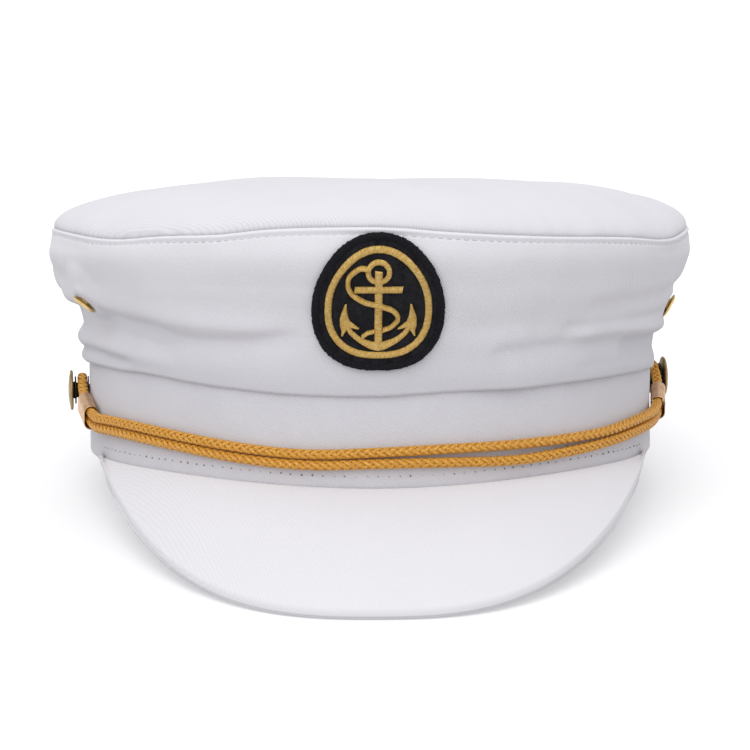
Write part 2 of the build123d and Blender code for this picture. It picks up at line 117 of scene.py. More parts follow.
class Pile:
    """Grids of points gathered into one mesh, with cloth coordinates in millimetres."""

    def __init__(self):
        self.points, self.faces, self.uv, self.count = [], [], [], 0

    def add(self, grid, st=None, wrap_u=False, wrap_v=False, keep=None, caps=False):
        nu, nv = grid.shape[:2]
        eu, ev = nu + wrap_u, nv + wrap_v
        if st is None:
            st = lattice(np.arange(eu), np.arange(ev))
        i, j = np.meshgrid(np.arange(eu - 1), np.arange(ev - 1), indexing="ij")
        i, j = i.ravel(), j.ravel()
        if keep is not None:
            chosen = keep[i, j]
            i, j = i[chosen], j[chosen]

        def corner(di, dj):
            return ((i + di) % nu) * nv + (j + dj) % nv + self.count

        order = ((0, 0), (1, 0), (1, 1), (0, 1))
        self.faces.append(np.stack([corner(*o) for o in order], -1))
        self.uv.append(np.stack([st[i + a, j + b] for a, b in order], 1).reshape(-1, 2))
        self.points.append(grid.reshape(-1, 3))
        base = self.count
        self.count += nu * nv
        if caps == "strip":      # the loop's two halves face each other
            for end, flip in ((0, 1), (nu - 1, 0)):
                ring = end * nv + np.arange(nv) + base
                k = np.arange(nv // 2 - 1)
                quad = np.stack([ring[k], ring[k + 1], ring[nv - 2 - k], ring[nv - 1 - k]], -1)
                self.faces.append(quad if flip else quad[:, ::-1])
                self.uv.append(np.zeros((4 * len(k), 2)))
        elif caps:
            for end, flip in ((0, 1), (nu - 1, 0)):
                ring = end * nv + np.arange(nv) + base
                middle = grid[end].mean(0)
                self.points.append(middle[None])
                tip = self.count
                self.count += 1
                pairs = [(ring[k], ring[(k + 1) % nv]) for k in range(nv)]
                for a, b in pairs:
                    self.faces.append(np.array([[a, b, tip, tip] if flip else [b, a, tip, tip]]))
                    self.uv.append(np.zeros((4, 2)))
        return self

    def mesh(self, name, scale=MM):
        points = np.concatenate(self.points) * scale
        faces = np.concatenate(self.faces)
        uv = np.concatenate(self.uv)
        sizes = np.where(faces[:, 2] == faces[:, 3], 3, 4)
        keep = np.ones((len(faces), 4), bool)
        keep[sizes == 3, 3] = False
        mesh = bpy.data.meshes.new(name)
        mesh.vertices.add(len(points))
        mesh.vertices.foreach_set("co", points.astype(np.float32).ravel())
        mesh.loops.add(int(sizes.sum()))
        mesh.loops.foreach_set("vertex_index", faces[keep].astype(np.int32))
        mesh.polygons.add(len(faces))
        starts = np.concatenate([[0], np.cumsum(sizes)[:-1]])
        mesh.polygons.foreach_set("loop_start", starts.astype(np.int32))
        layer = mesh.uv_layers.new(name="cloth")
        layer.data.foreach_set("uv", uv.reshape(-1, 4, 2)[keep].astype(np.float32).ravel())
        mesh.update(calc_edges=True)
        mesh.validate()
        mesh.shade_smooth()
        return mesh


# ---- Materials --------------------------------------------------------------------------


class Nodes:
    """A short way to write a node material."""

    def __init__(self, name):
        self.material = bpy.data.materials.new(name)
        self.material.use_nodes = True
        self.tree = self.material.node_tree
        self.bsdf = self.tree.nodes["Principled BSDF"]

    def node(self, kind, **settings):
        made = self.tree.nodes.new(kind)
        for key, value in settings.items():
            setattr(made, key, value)
        return made

    def put(self, socket, value):
        if isinstance(value, bpy.types.NodeSocket):
            self.tree.links.new(value, socket)
        else:
            socket.default_value = value

    def math(self, operation, a, b=0.0, c=0.0):
        made = self.node("ShaderNodeMath", operation=operation)
        for socket, value in zip(made.inputs, (a, b, c)):
            self.put(socket, value)
        return made.outputs[0]

    def cloth(self, turn=0.0):
        """Cloth coordinates in millimetres, turned by an angle: along and across."""
        uv = self.node("ShaderNodeUVMap", uv_map="cloth")
        turned = self.node("ShaderNodeVectorRotate", rotation_type="Z_AXIS")
        self.put(turned.inputs["Vector"], uv.outputs[0])
        turned.inputs["Angle"].default_value = turn
        split = self.node("ShaderNodeSeparateXYZ")
        self.put(split.inputs[0], turned.outputs[0])
        return split.outputs[0], split.outputs[1], uv.outputs[0]

    def noise(self, scale, detail=2.0, rough=0.5, vector=None):
        made = self.node("ShaderNodeTexNoise")
        if vector is None:
            vector = self.node("ShaderNodeTexCoord").outputs["Object"]
        self.put(made.inputs["Vector"], vector)
        made.inputs["Scale"].default_value = scale
        made.inputs["Detail"].default_value = detail
        made.inputs["Roughness"].default_value = rough
        return made.outputs["Fac"]

    def wave(self, value, pitch, shift=0.0):
        """0 to 1 and back over each pitch."""
        turns = self.math("MULTIPLY_ADD", value, 2 * pi / pitch, shift)
        return self.math("MULTIPLY_ADD", self.math("SINE", turns), 0.5, 0.5)

    def mix(self, factor, a, b):
        made = self.node("ShaderNodeMix", data_type="RGBA")
        self.put(made.inputs[0], factor)
        for index, value in ((6, a), (7, b)):
            if not isinstance(value, bpy.types.NodeSocket):
                value = (*value, 1.0)
            self.put(made.inputs[index], value)
        return made.outputs[2]

    def ramp(self, value, low, high):
        made = self.node("ShaderNodeMapRange")
        self.put(made.inputs[0], value)
        made.inputs[1].default_value, made.inputs[2].default_value = low, high
        return made.outputs[0]

    def bump(self, height, distance, strength=1.0, normal=None):
        made = self.node("ShaderNodeBump")
        made.inputs["Strength"].default_value = strength
        made.inputs["Distance"].default_value = distance * MM
        self.put(made.inputs["Height"], height)
        if normal is not None:
            self.put(made.inputs["Normal"], normal)
        return made.outputs[0]

    def finish(self, colour, normal=None, roughness=0.8, metallic=0.0, sheen=0.0,
               specular=0.5, sheen_roughness=0.5):
        self.put(self.bsdf.inputs["Base Color"],
                 colour if isinstance(colour, bpy.types.NodeSocket) else (*colour, 1.0))
        self.put(self.bsdf.inputs["Roughness"], roughness)
        self.bsdf.inputs["Metallic"].default_value = metallic
        self.bsdf.inputs["Specular IOR Level"].default_value = specular
        self.bsdf.inputs["Sheen Weight"].default_value = sheen
        self.bsdf.inputs["Sheen Roughness"].default_value = sheen_roughness
        if normal is not None:
            self.put(self.bsdf.inputs["Normal"], normal)
        return self.material


def twill(name, light, dark, pitch=0.64, turn=radians(-38), depth=0.11, painted_shade_between=None):
    """Cotton twill: slanting ribs made of short floats, with slubs and a soft fuzz."""
    n = Nodes(name)
    along, across, uv = n.cloth(turn)
    drift = n.noise(0.16, 2.0, 0.5, uv)
    along = n.math("MULTIPLY_ADD", drift, 0.9, along)
    rib = n.wave(along, pitch)
    step = n.wave(n.math("MULTIPLY_ADD", along, 0.5, across), 0.47)
    slub = n.noise(2.6, 3.0, 0.65, uv)
    height = n.math("MULTIPLY_ADD", rib, 0.62, n.math("MULTIPLY", step, 0.22))
    height = n.math("MULTIPLY_ADD", slub, 0.5, height)
    tone = n.math("MULTIPLY_ADD", n.ramp(rib, 0.0, 0.6), 0.62, n.math("MULTIPLY", slub, 0.38))
    cloudy = n.noise(0.045, 3.0, 0.55, uv)
    tone = n.math("MULTIPLY_ADD", cloudy, 0.35, n.math("MULTIPLY", tone, 0.75))
    colour = n.mix(tone, dark, light)
    # the lower part is made greyer, to match the photo's tones
    if painted_shade_between:      # painted shade: the lower part of the side is made greyer, standing in for shade on its downward-facing cloth
        split = n.node("ShaderNodeSeparateXYZ")
        n.put(split.inputs[0], uv)
        up = n.math("MULTIPLY_ADD", n.noise(0.03, 2.0, 0.5, uv), 6.0, split.outputs[1])
        # The grey below is the painted shade's colour, strongest at the pouch's edge.
        colour = n.mix(n.ramp(up, *painted_shade_between), (0.62, 0.615, 0.65), colour)
    return n.finish(colour, n.bump(height, depth), roughness=0.85, sheen=0.12,
                    specular=0.18, sheen_roughness=0.6)


def plain_weave(name, light, dark, pitch=0.5, depth=0.05, roughness=0.85):
    n = Nodes(name)
    along, across, uv = n.cloth()
    warp, weft = n.wave(along, pitch), n.wave(across, pitch)
    over = n.math("MULTIPLY", warp, weft)
    under = n.math("MULTIPLY", n.math("SUBTRACT", 1.0, warp), n.math("SUBTRACT", 1.0, weft))
    weave = n.math("ADD", over, under)
    slub = n.noise(1.8, 3.0, 0.6, uv)
    colour = n.mix(n.math("MULTIPLY_ADD", slub, 0.5, n.math("MULTIPLY", weave, 0.5)), dark, light)
    height = n.math("MULTIPLY_ADD", slub, 0.4, weave)
    return n.finish(colour, n.bump(height, depth), roughness=roughness, sheen=0.1, specular=0.2)


def grosgrain(name, light, dark, pitch=0.8, depth=0.12):
    n = Nodes(name)
    along, across, uv = n.cloth()
    rib = n.wave(along, pitch)
    fine = n.wave(across, 0.42)
    slub = n.noise(1.4, 3.0, 0.6, uv)
    height = n.math("MULTIPLY_ADD", fine, 0.25, rib)
    colour = n.mix(n.math("MULTIPLY_ADD", slub, 0.6, n.math("MULTIPLY", rib, 0.4)), dark, light)
    return n.finish(colour, n.bump(height, depth), roughness=0.8, sheen=0.1, specular=0.25)


def thread(name, light, mid, dark, pitch, depth, roughness, sheen=0.2, specular=0.6):
    """Shiny thread: fine filaments that run along the second cloth coordinate."""
    n = Nodes(name)
    along, _, uv = n.cloth()
    strand = n.wave(along, pitch)
    fine = n.noise(2.2, 3.0, 0.6, uv)
    height = n.math("MULTIPLY_ADD", fine, 0.35, strand)
    low = n.mix(n.ramp(strand, 0.0, 0.7), dark, mid)
    # Fine noise lays spots of the light colour; for the gold threads these are painted glints.
    colour = n.mix(n.ramp(fine, 0.42, 0.7), low, light)
    return n.finish(colour, n.bump(height, depth), roughness=roughness, sheen=sheen,
                    specular=specular)


def felt(name):
    n = Nodes(name)
    fuzz = n.noise(1500.0, 4.0, 0.75)
    clumps = n.noise(350.0, 3.0, 0.6)
    colour = n.mix(n.ramp(n.math("MULTIPLY", fuzz, clumps), 0.15, 0.42),
                   (0.0035, 0.0035, 0.0045), (0.022, 0.021, 0.027))
    height = n.math("MULTIPLY_ADD", clumps, 0.6, fuzz)
    return n.finish(colour, n.bump(height, 0.22), roughness=0.95, sheen=0.12, specular=0.12)


def metal(name, bright, tarnish, roughness, amount, scratch=900.0):
    """Brass with darker tarnish in patches, fine scratches and small dents."""
    n = Nodes(name)
    patch = n.noise(260.0, 4.0, 0.65)
    grain = n.noise(scratch, 3.0, 0.7)
    worn = n.ramp(n.math("MULTIPLY_ADD", grain, 0.35, patch), 0.5 - amount, 1.0 - amount)
    colour = n.mix(worn, tarnish, bright)
    rough = n.math("MULTIPLY_ADD", grain, 0.3, roughness)
    return n.finish(colour, n.bump(n.math("MULTIPLY_ADD", patch, 0.5, grain), 0.02),
                    roughness=rough, metallic=1.0)


def moulded(name, colour, other, roughness=0.45, specular=0.5):
    n = Nodes(name)
    grain = n.noise(1400.0, 3.0, 0.6)
    blotch = n.noise(160.0, 2.0, 0.5)
    return n.finish(n.mix(blotch, colour, other), n.bump(grain, 0.03),
                    roughness=n.math("MULTIPLY_ADD", grain, 0.2, roughness), specular=specular)


WHITE = (0.79, 0.783, 0.815)
# Painted light and shade: the crown's twill is a lighter copy of the same white cloth, standing in for light
# from the front, and greyer low down, standing in for shade.
twill_crown_painted_light_shade = twill("twill_crown_painted_light_shade", (0.875, 0.868, 0.90), (0.72, 0.715, 0.755), depth=0.09,
                    painted_shade_between=(4.0, 30.0))
twill_tip = twill("twill_tip", WHITE, (0.65, 0.645, 0.68), turn=radians(-46), depth=0.05)
# Painted shade: the band's twill is a darker copy of the same white cloth, standing in for the shade under
# the crown's overhang.
twill_band_painted_shade = twill("twill_band_painted_shade", (0.73, 0.723, 0.757), (0.55, 0.545, 0.585))
twill_visor = twill("twill_visor", (0.80, 0.793, 0.823), (0.735, 0.73, 0.76), turn=radians(-30),
                    depth=0.03)
white_thread = thread("white_thread", (0.87, 0.87, 0.9), (0.8, 0.8, 0.83), (0.6, 0.6, 0.64),
                      0.22, 0.05, 0.6)
sweat_cotton = grosgrain("sweat_cotton", (0.84, 0.84, 0.85), (0.66, 0.66, 0.68))
lining_weave = plain_weave("lining_weave", (0.85, 0.85, 0.88), (0.7, 0.7, 0.73))
label_weave = plain_weave("label_weave", (0.9, 0.9, 0.9), (0.74, 0.74, 0.75), 0.34, 0.03, 0.55)
board_card = plain_weave("board_card", (0.8, 0.79, 0.76), (0.62, 0.6, 0.56), 1.1, 0.12)
board_moulded = moulded("board_moulded", (0.72, 0.72, 0.72), (0.78, 0.78, 0.77), 0.5)
black_felt = felt("badge_wool")
black_thread = thread("black_thread", (0.022, 0.021, 0.026), (0.009, 0.009, 0.012),
                      (0.002, 0.002, 0.003), 0.25, 0.05, 0.8, 0.0, 0.12)
# Partly painted highlight: the pale light colour of the gold thread and the gold yarn, laid in fine random
# spots, stands in for glints on the thread.
gold_thread = thread("gold_thread", (1.0, 0.78, 0.27), (0.93, 0.55, 0.11), (0.42, 0.20, 0.025),
                     0.17, 0.09, 0.3, 0.0, 0.8)
gold_yarn = thread("gold_yarn", (1.0, 0.56, 0.085), (0.80, 0.35, 0.03), (0.34, 0.12, 0.008),
                   0.4, 0.09, 0.36, 0.0, 0.55)
eyelet_metal = metal("eyelet_metal", (0.83, 0.6, 0.25), (0.42, 0.27, 0.08), 0.24, 0.12)
sleeve_metal = metal("sleeve_metal", (0.82, 0.57, 0.36), (0.5, 0.3, 0.15), 0.3, 0.1)
button_metal = metal("button_metal", (0.56, 0.42, 0.19), (0.24, 0.17, 0.075), 0.34, 0.06)
black_plastic = moulded("black_plastic", (0.012, 0.012, 0.013), (0.02, 0.02, 0.021), 0.35)

# ---- The crown's surface ----------------------------------------------------------------


def section_value(v, column):
    """Smooth value of one column of SECTIONS at a share of the way up."""
    x, y = SECTIONS[:, 0], SECTIONS[:, column]
    slope = np.gradient(y, x)
    i = np.clip(np.searchsorted(x, v) - 1, 0, len(x) - 2)
    h = x[i + 1] - x[i]
    t = (v - x[i]) / h
    held = np.clip(t, 0, 1)
    curve = ((2 * held**3 - 3 * held**2 + 1) * y[i] + (held**3 - 2 * held**2 + held) * h * slope[i]
             + (3 * held**2 - 2 * held**3) * y[i + 1] + (held**3 - held**2) * h * slope[i + 1])
    return curve + (t - held) * h * np.where(t < held, slope[i], slope[i + 1])


def crown_point(theta, v, outset=0.0):
    """Point of the crown's side: theta is the angle from the front, v the share of the way up."""
    a = section_value(v, 1) + outset
    b = section_value(v, 2) + outset
    slope = np.radians(LOW_SLOPE + np.clip(v, 0, 1) * (HIGH_SLOPE - LOW_SLOPE))
    y = HEAD_Y + section_value(v, 3) - b * np.cos(theta) * np.cos(slope)
    z = LOW_Z + v * WALL_LENGTH + b * np.cos(theta) * np.sin(slope)
    return np.stack([a * np.sin(theta), y, z], -1)


def crown_normal(theta, v):
    d = 1e-3
    across = crown_point(theta + d, v) - crown_point(theta - d, v)
    up = crown_point(theta, v + d) - crown_point(theta, v - d)
    return unit(np.cross(across, up))


def badge_surface(x, z):
    """Theta and v of the point on the front of the crown at a given x and z."""
    v = np.full(np.shape(x), 0.5)
    for _ in range(14):
        a, b = section_value(v, 1), section_value(v, 2)
        theta = np.arcsin(np.clip(x / a, -1, 1))
        slope = np.radians(LOW_SLOPE + np.clip(v, 0, 1) * (HIGH_SLOPE - LOW_SLOPE))
        v = (z - b * np.cos(theta) * np.sin(slope) - LOW_Z) / WALL_LENGTH
    return theta, v


def table_curve(table, degrees):
    """Smooth periodic curve through (angle in degrees, value) pairs."""
    angles, values = np.array(table, float).T
    angles = np.concatenate([angles - 360, angles, angles + 360])
    values = np.tile(values, 3)
    slope = np.gradient(values, angles)
    i = np.clip(np.searchsorted(angles, degrees) - 1, 0, len(angles) - 2)
    h = angles[i + 1] - angles[i]
    t = (degrees - angles[i]) / h
    return ((2 * t**3 - 3 * t**2 + 1) * values[i] + (t**3 - 2 * t**2 + t) * h * slope[i]
            + (3 * t**2 - 2 * t**3) * values[i + 1] + (t**3 - t**2) * h * slope[i + 1])


# Where the pouch's edge and the top seam leave the plain sections, in millimetres.
HEM_SHIFT = [(-175, 0.6), (-140, -0.7), (-110, 1.5), (-90, 3.0), (-75, 2.9), (-49, 2.3), (-32, 0.2),
             (-15, -1.5), (0, -1.7), (12, -0.9), (28, -0.4), (48, 0.5), (66, 0.3), (82, -0.4),
             (110, 0.9), (145, -0.8)]
SEAM_DROP = [(-170, 1.6), (-140, 2.8), (-110, 1.8), (-86, 0.4), (-66, 1.9), (-56, 3.2), (-50, 3.6),
             (-38, 2.6), (-27, 2.1), (-19, 0.8), (-8, 0.2), (4, 0.5), (10, 1.4), (27, 3.0),
             (45, 3.6), (63, 4.4), (72, 2.6), (84, 0.6), (110, 1.6), (140, 3.0)]
# Folds of the side: points (degrees from the front, share of the way up), depth in
# millimetres (below zero for a ridge), half width above and below, in millimetres.
FOLDS = [
    ([(-100, 0.34), (-80, 0.36), (-67, 0.365), (-57, 0.335), (-47, 0.30), (-38, 0.27)],
     3.6, 3.4, 5.4, 14, 20),
    ([(-50, 0.30), (-38, 0.262), (-28, 0.258), (-19, 0.285), (-12, 0.29)], 1.7, 2.6, 4.6, 14, 16),
    ([(-86, 0.50), (-66, 0.475), (-50, 0.43), (-40, 0.40), (-28, 0.36), (-15, 0.33)],
     -1.3, 4.2, 3.2, 14, 18),
    ([(-104, 0.13), (-84, 0.12), (-70, 0.128), (-62, 0.11), (-52, 0.09)], 1.3, 1.3, 1.7, 8, 14),
    ([(-96, 0.205), (-80, 0.21), (-68, 0.20), (-56, 0.16), (-40, 0.12)], -0.8, 2.0, 2.4, 10, 16),
    ([(-90, 0.66), (-72, 0.62), (-52, 0.56)], 0.45, 4.0, 5.0, 16, 16),
    ([(-24, 0.80), (-40, 0.74), (-58, 0.70)], 0.25, 5.0, 5.0, 14, 14),
    ([(102, 0.20), (88, 0.175), (75, 0.18), (65, 0.188), (54, 0.205)], 2.7, 1.8, 4.4, 10, 16),
    ([(58, 0.20), (48, 0.21), (38, 0.218), (28, 0.20), (20, 0.18)], 1.25, 2.4, 4.4, 10, 16),
    ([(96, 0.275), (82, 0.27), (70, 0.283), (58, 0.30), (48, 0.30), (38, 0.27)],
     -1.3, 2.6, 2.2, 12, 18),
    ([(84, 0.40), (72, 0.355), (60, 0.35), (48, 0.335), (36, 0.33)], 0.85, 1.8, 2.4, 6, 18),
    ([(88, 0.47), (76, 0.43), (64, 0.415), (52, 0.41)], -0.5, 2.2, 2.4, 8, 18),
    ([(92, 0.60), (80, 0.53), (66, 0.49), (52, 0.47), (40, 0.455)], 0.8, 2.6, 3.4, 10, 18),
    ([(96, 0.76), (86, 0.66), (76, 0.58)], -0.35, 3.0, 3.0, 12, 14),
    ([(84, 0.06), (66, 0.085), (52, 0.09), (40, 0.07)], 0.35, 1.6, 1.6, 10, 14),
    ([(14, 0.33), (24, 0.37), (36, 0.36)], 0.3, 3.0, 3.0, 10, 12),
    ([(-12, 0.20), (-4, 0.17), (8, 0.19), (20, 0.15)], 0.3, 3.4, 3.4, 12, 12),
    ([(112, 0.36), (128, 0.31), (146, 0.33), (160, 0.28)], 1.5, 3.0, 4.6, 16, 18),
    ([(118, 0.19), (134, 0.16), (150, 0.17)], 0.8, 1.8, 2.6, 12, 14),
    ([(122, 0.44), (140, 0.41), (158, 0.42)], -0.8, 3.4, 3.0, 14, 18),
    ([(150, 0.55), (166, 0.50), (182, 0.47)], 0.5, 3.6, 4.6, 14, 16),
    ([(-116, 0.30), (-132, 0.33), (-148, 0.29), (-164, 0.31)], 1.7, 2.8, 4.6, 16, 18),
    ([(-120, 0.43), (-138, 0.45), (-156, 0.40)], -0.8, 3.4, 3.0, 14, 18),
    ([(-126, 0.15), (-144, 0.18), (-160, 0.14)], 0.8, 1.7, 2.4, 12, 14),
    ([(-168, 0.22), (-180, 0.24), (-192, 0.21)], 0.7, 2.4, 3.4, 12, 12),
]
EYELET_ANGLES = {-1: (67, 97), 1: (83, 97)}
EYELET_LEAN, EYELET_V = {-1: radians(52), 1: radians(30)}, {-1: 0.47, 1: 0.4}
EYELET_TILT = {-1: 0.34, 1: 0.0}   # how much more the cloth under an eyelet faces down
FRONT_SEAM = radians(90.2)   # where the front and rear panels of the side meet
MEAN_RADIUS = 101.0   # turns an angle round the crown into millimetres along the cloth
CLOTH = 0.8
TIP_RADIUS = 104.0    # turns a share of the top's radius into millimetres
POLE = 0.0003         # where a dome's rings end, as a share of its radius
EYELET_HOLE = 2.75    # radius cut out of the cloth


def fold_depth(theta, v):
    """How far the folds push the side in, in millimetres."""
    s, t = MEAN_RADIUS * theta, WALL_LENGTH * v
    total = np.zeros(np.shape(theta))
    for points, depth, above, below, fade_a, fade_b in FOLDS:
        way = np.array([(radians(a) * MEAN_RADIUS, b * WALL_LENGTH) for a, b in points])
        fine = np.linspace(0, len(way) - 1, 8 * (len(way) - 1) + 1)
        k = np.clip(fine.astype(int), 0, len(way) - 2)
        f = (fine - k)[:, None]
        before = way[np.clip(k - 1, 0, None)]
        after = way[np.clip(k + 2, None, len(way) - 1)]
        line = 0.5 * ((2 * way[k]) + (way[k + 1] - before) * f
                      + (2 * before - 5 * way[k] + 4 * way[k + 1] - after) * f**2
                      + (3 * way[k] - before - 3 * way[k + 1] + after) * f**3)
        length = run_along(line)
        for turn in (-2 * pi * MEAN_RADIUS, 0, 2 * pi * MEAN_RADIUS):
            order = np.argsort(line[:, 0])
            low, high = line[order[0], 0] + turn, line[order[-1], 0] + turn
            near = (s > low - 30) & (s < high + 30)
            if not near.any():
                continue
            sx = s[near]
            mid = np.interp(sx, line[order, 0] + turn, line[order, 1])
            run = np.interp(sx, line[order, 0] + turn, length[order])
            outside = np.maximum(low - sx, 0) + np.maximum(sx - high, 0)
            if order[0] != 0:
                run_from_low = length[-1] - run
            else:
                run_from_low = run
            ends = smooth((run_from_low + 2) / fade_a) * smooth((length[-1] - run_from_low + 2) / fade_b)
            ends = ends * np.exp(-(outside / 6.0) ** 2)
            off = t[near] - mid
            width = np.where(off > 0, above, below)
            total[near] += depth * ends * np.exp(-(off / width) ** 2)
    return total


def side_offset(theta, v):
    """How far the cloth of the side stands out from the plain sections."""
    theta = (theta + pi) % (2 * pi) - pi
    s, t = MEAN_RADIUS * theta, WALL_LENGTH * v
    cyc = np.cos(theta) * 8, np.sin(theta) * 8
    lumps = 0.55 * noise2(cyc[0] * 0.55 + 9, cyc[1] * 0.55 + t / 30 + 9, 3)
    lumps = lumps + 0.22 * noise2(s / 15 + 40, t / 13 + 3, 5) * smooth((3.05 - abs(theta)) / 0.2)
    ripples = 0.10 * noise2(s / 5.5 + 90, t / 8 + 5, 8) * smooth((3.05 - abs(theta)) / 0.2)
    out = lumps + ripples - fold_depth(theta, v)
    broad = np.exp(-((np.abs(np.degrees(theta)) - 90) / 34.0) ** 2)
    out = out - 1.5 * broad * np.exp(-((v - 0.80) / 0.26) ** 2)
    # No fold sinks as deep as the band and the lining behind it.
    out = np.maximum(out, smooth((np.abs(np.degrees(theta)) - 62) / 14) - 3.0)
    # The side seams pull the cloth in a little.
    for seam in (FRONT_SEAM, -FRONT_SEAM):
        out = out - 0.45 * np.exp(-((s - seam * MEAN_RADIUS) / 1.1) ** 2)
    # The cloth lies flat under the badge and under the eyelets.
    badge_v = 0.68
    away = np.sqrt((s / 24.0) ** 2 + ((v - badge_v) * WALL_LENGTH / 25.0) ** 2)
    out = out * smooth((away - 0.86) / 0.35)
    for side in (-1, 1):
        for angle in EYELET_ANGLES[side]:
            up = t - EYELET_V[side] * WALL_LENGTH
            gap = np.hypot(s - side * radians(angle) * MEAN_RADIUS * 0.97, up)
            out = out * smooth((gap - 3.6) / 3.2)
            out = out + EYELET_TILT[side] * up * (1 - smooth((gap - 3.0) / 11.0))
    return out


def side_v(theta, share):
    """Share of the way between the pouch's edge and the seam as a share of the sections."""
    degrees = np.degrees(theta)
    low = table_curve(HEM_SHIFT, degrees) / WALL_LENGTH
    high = 1 - table_curve(SEAM_DROP, degrees) / WALL_LENGTH
    return low + share * (high - low)


ROLL = 1.25      # radius of the pouch's folded edge
LIP = 1.9        # height of the seam's raised lip


def side_surface(theta, share):
    """Outer surface of the side; share is 0 at the pouch's edge and 1 at the top seam."""
    v = side_v(theta, share)
    height = (1 - share) * WALL_LENGTH * 0.96
    puff = 0.42 * np.exp(-((height - 0.75) / 0.62) ** 2) - 0.16 * np.exp(-((height - LIP) / 0.35) ** 2)
    s = MEAN_RADIUS * ((theta + pi) % (2 * pi) - pi)
    tight = 0.07 * np.sin(2 * pi * s / 2.6) * np.exp(-((height - LIP) / 1.3) ** 2)
    pucker = 0.22 * noise2(s / 3.4 + 20, height / 9 + 20, 12) * np.exp(-height / 5.0)
    tuck = -0.3 * np.exp(-(height / 0.3) ** 2)
    out = side_offset(theta, v) * smooth(height / 6.0 + 0.1) + puff + tight + pucker + tuck
    return crown_point(theta, v) + crown_normal(theta, v) * out[..., None]


def eyelet_frames(side):
    """Origin and three axes of each eyelet; the last axis points out of the cloth."""
    share = EYELET_V[side]
    a, b, centre = (float(section_value(np.array(share), k)) for k in (1, 2, 3))
    slope = radians(LOW_SLOPE + share * (HIGH_SLOPE - LOW_SLOPE))
    made = []
    for angle in EYELET_ANGLES[side]:
        angle = radians(angle)
        across, along = side * a * sin(angle), -b * cos(angle)
        origin = np.array([across, HEAD_Y + centre + along * cos(slope),
                           LOW_Z + share * WALL_LENGTH - along * sin(slope)])
        flat = unit(np.array([across / a**2, along / b**2 * cos(slope), -along / b**2 * sin(slope)]))
        out = unit(flat * cos(EYELET_LEAN[side]) - np.array([0, 0, sin(EYELET_LEAN[side])]))
        one = unit(np.cross([0, 0, 1.0], out))
        made.append((origin, one, np.cross(out, one), out))
    return made


def cloth_shell(outer, normals, thickness, st, pile, holes=(), wrap_u=False, caps=True):
    """A closed cloth shell: outer surface, inner surface and the edges between them."""
    inner = outer - normals * thickness
    loop = np.concatenate([outer, inner[:, ::-1]], axis=1)
    nv = outer.shape[1]
    st_loop = np.concatenate([st, st[:, ::-1], st[:, :1]], axis=1)
    keep = np.ones((loop.shape[0] + wrap_u, 2 * nv), bool)
    for centre, radius in holes:
        middle = (outer[:-1, :-1] + outer[1:, 1:]) / 2
        gone = np.linalg.norm(middle - centre, axis=-1) < radius
        keep[: gone.shape[0], : nv - 1] &= ~gone
        keep[: gone.shape[0], nv: 2 * nv - 1] &= ~gone[:, ::-1]
    pile.add(loop, st_loop, wrap_u=wrap_u, wrap_v=True, keep=keep, caps=caps and "strip")
    return pile


def grid_normals(points, wrap_u=False):
    if wrap_u:
        du = np.roll(points, -1, 0) - np.roll(points, 1, 0)
    else:
        du = np.gradient(points, axis=0)
    dv = np.gradient(points, axis=1)
    return unit(np.cross(du, dv))


def side_panel(name, start, end, node):
    """One half of the crown's side, with its rolled lower edge."""
    count = 400
    theta = np.linspace(start, end, count)
    shares = np.concatenate([np.linspace(0, 0.12, 10)[:-1], np.linspace(0.12, 0.93, 56)[:-1],
                             np.linspace(0.93, 1.0, 14)])
    tg, sg = np.meshgrid(theta, shares, indexing="ij")
    wall = side_surface(tg, sg)
    normal = grid_normals(wall)
    foot, out = wall[:, 0], normal[:, 0]
    up = unit(wall[:, 1] - wall[:, 0])
    centre = foot - out * ROLL
    turns = np.radians(np.linspace(-168, -12, 9))
    roll = np.stack([centre + ROLL * (np.cos(a) * out + np.sin(a) * up) for a in turns], 1)
    outer = np.concatenate([roll, wall], 1)
    s = MEAN_RADIUS * theta
    st = lattice(s, np.concatenate([turns * ROLL, shares * WALL_LENGTH]))
    holes = [(f[0], EYELET_HOLE) for side in (-1, 1) for f in eyelet_frames(side)]
    pile = Pile()
    cloth_shell(outer, grid_normals(outer), CLOTH, st, pile, holes)
    return new_object(name, pile, "cap", twill_crown_painted_light_shade, [node])


side_panel("crown_side_front", -FRONT_SEAM, FRONT_SEAM, "crown_front_panel")
side_panel("crown_side_rear", FRONT_SEAM + 0.0004, 2 * pi - FRONT_SEAM - 0.0004,
           "crown_rear_panel")


def side_panel_edge(theta):
    """The seam's line on the side, where the top panel starts."""
    return side_surface(theta, np.ones(np.shape(theta)))


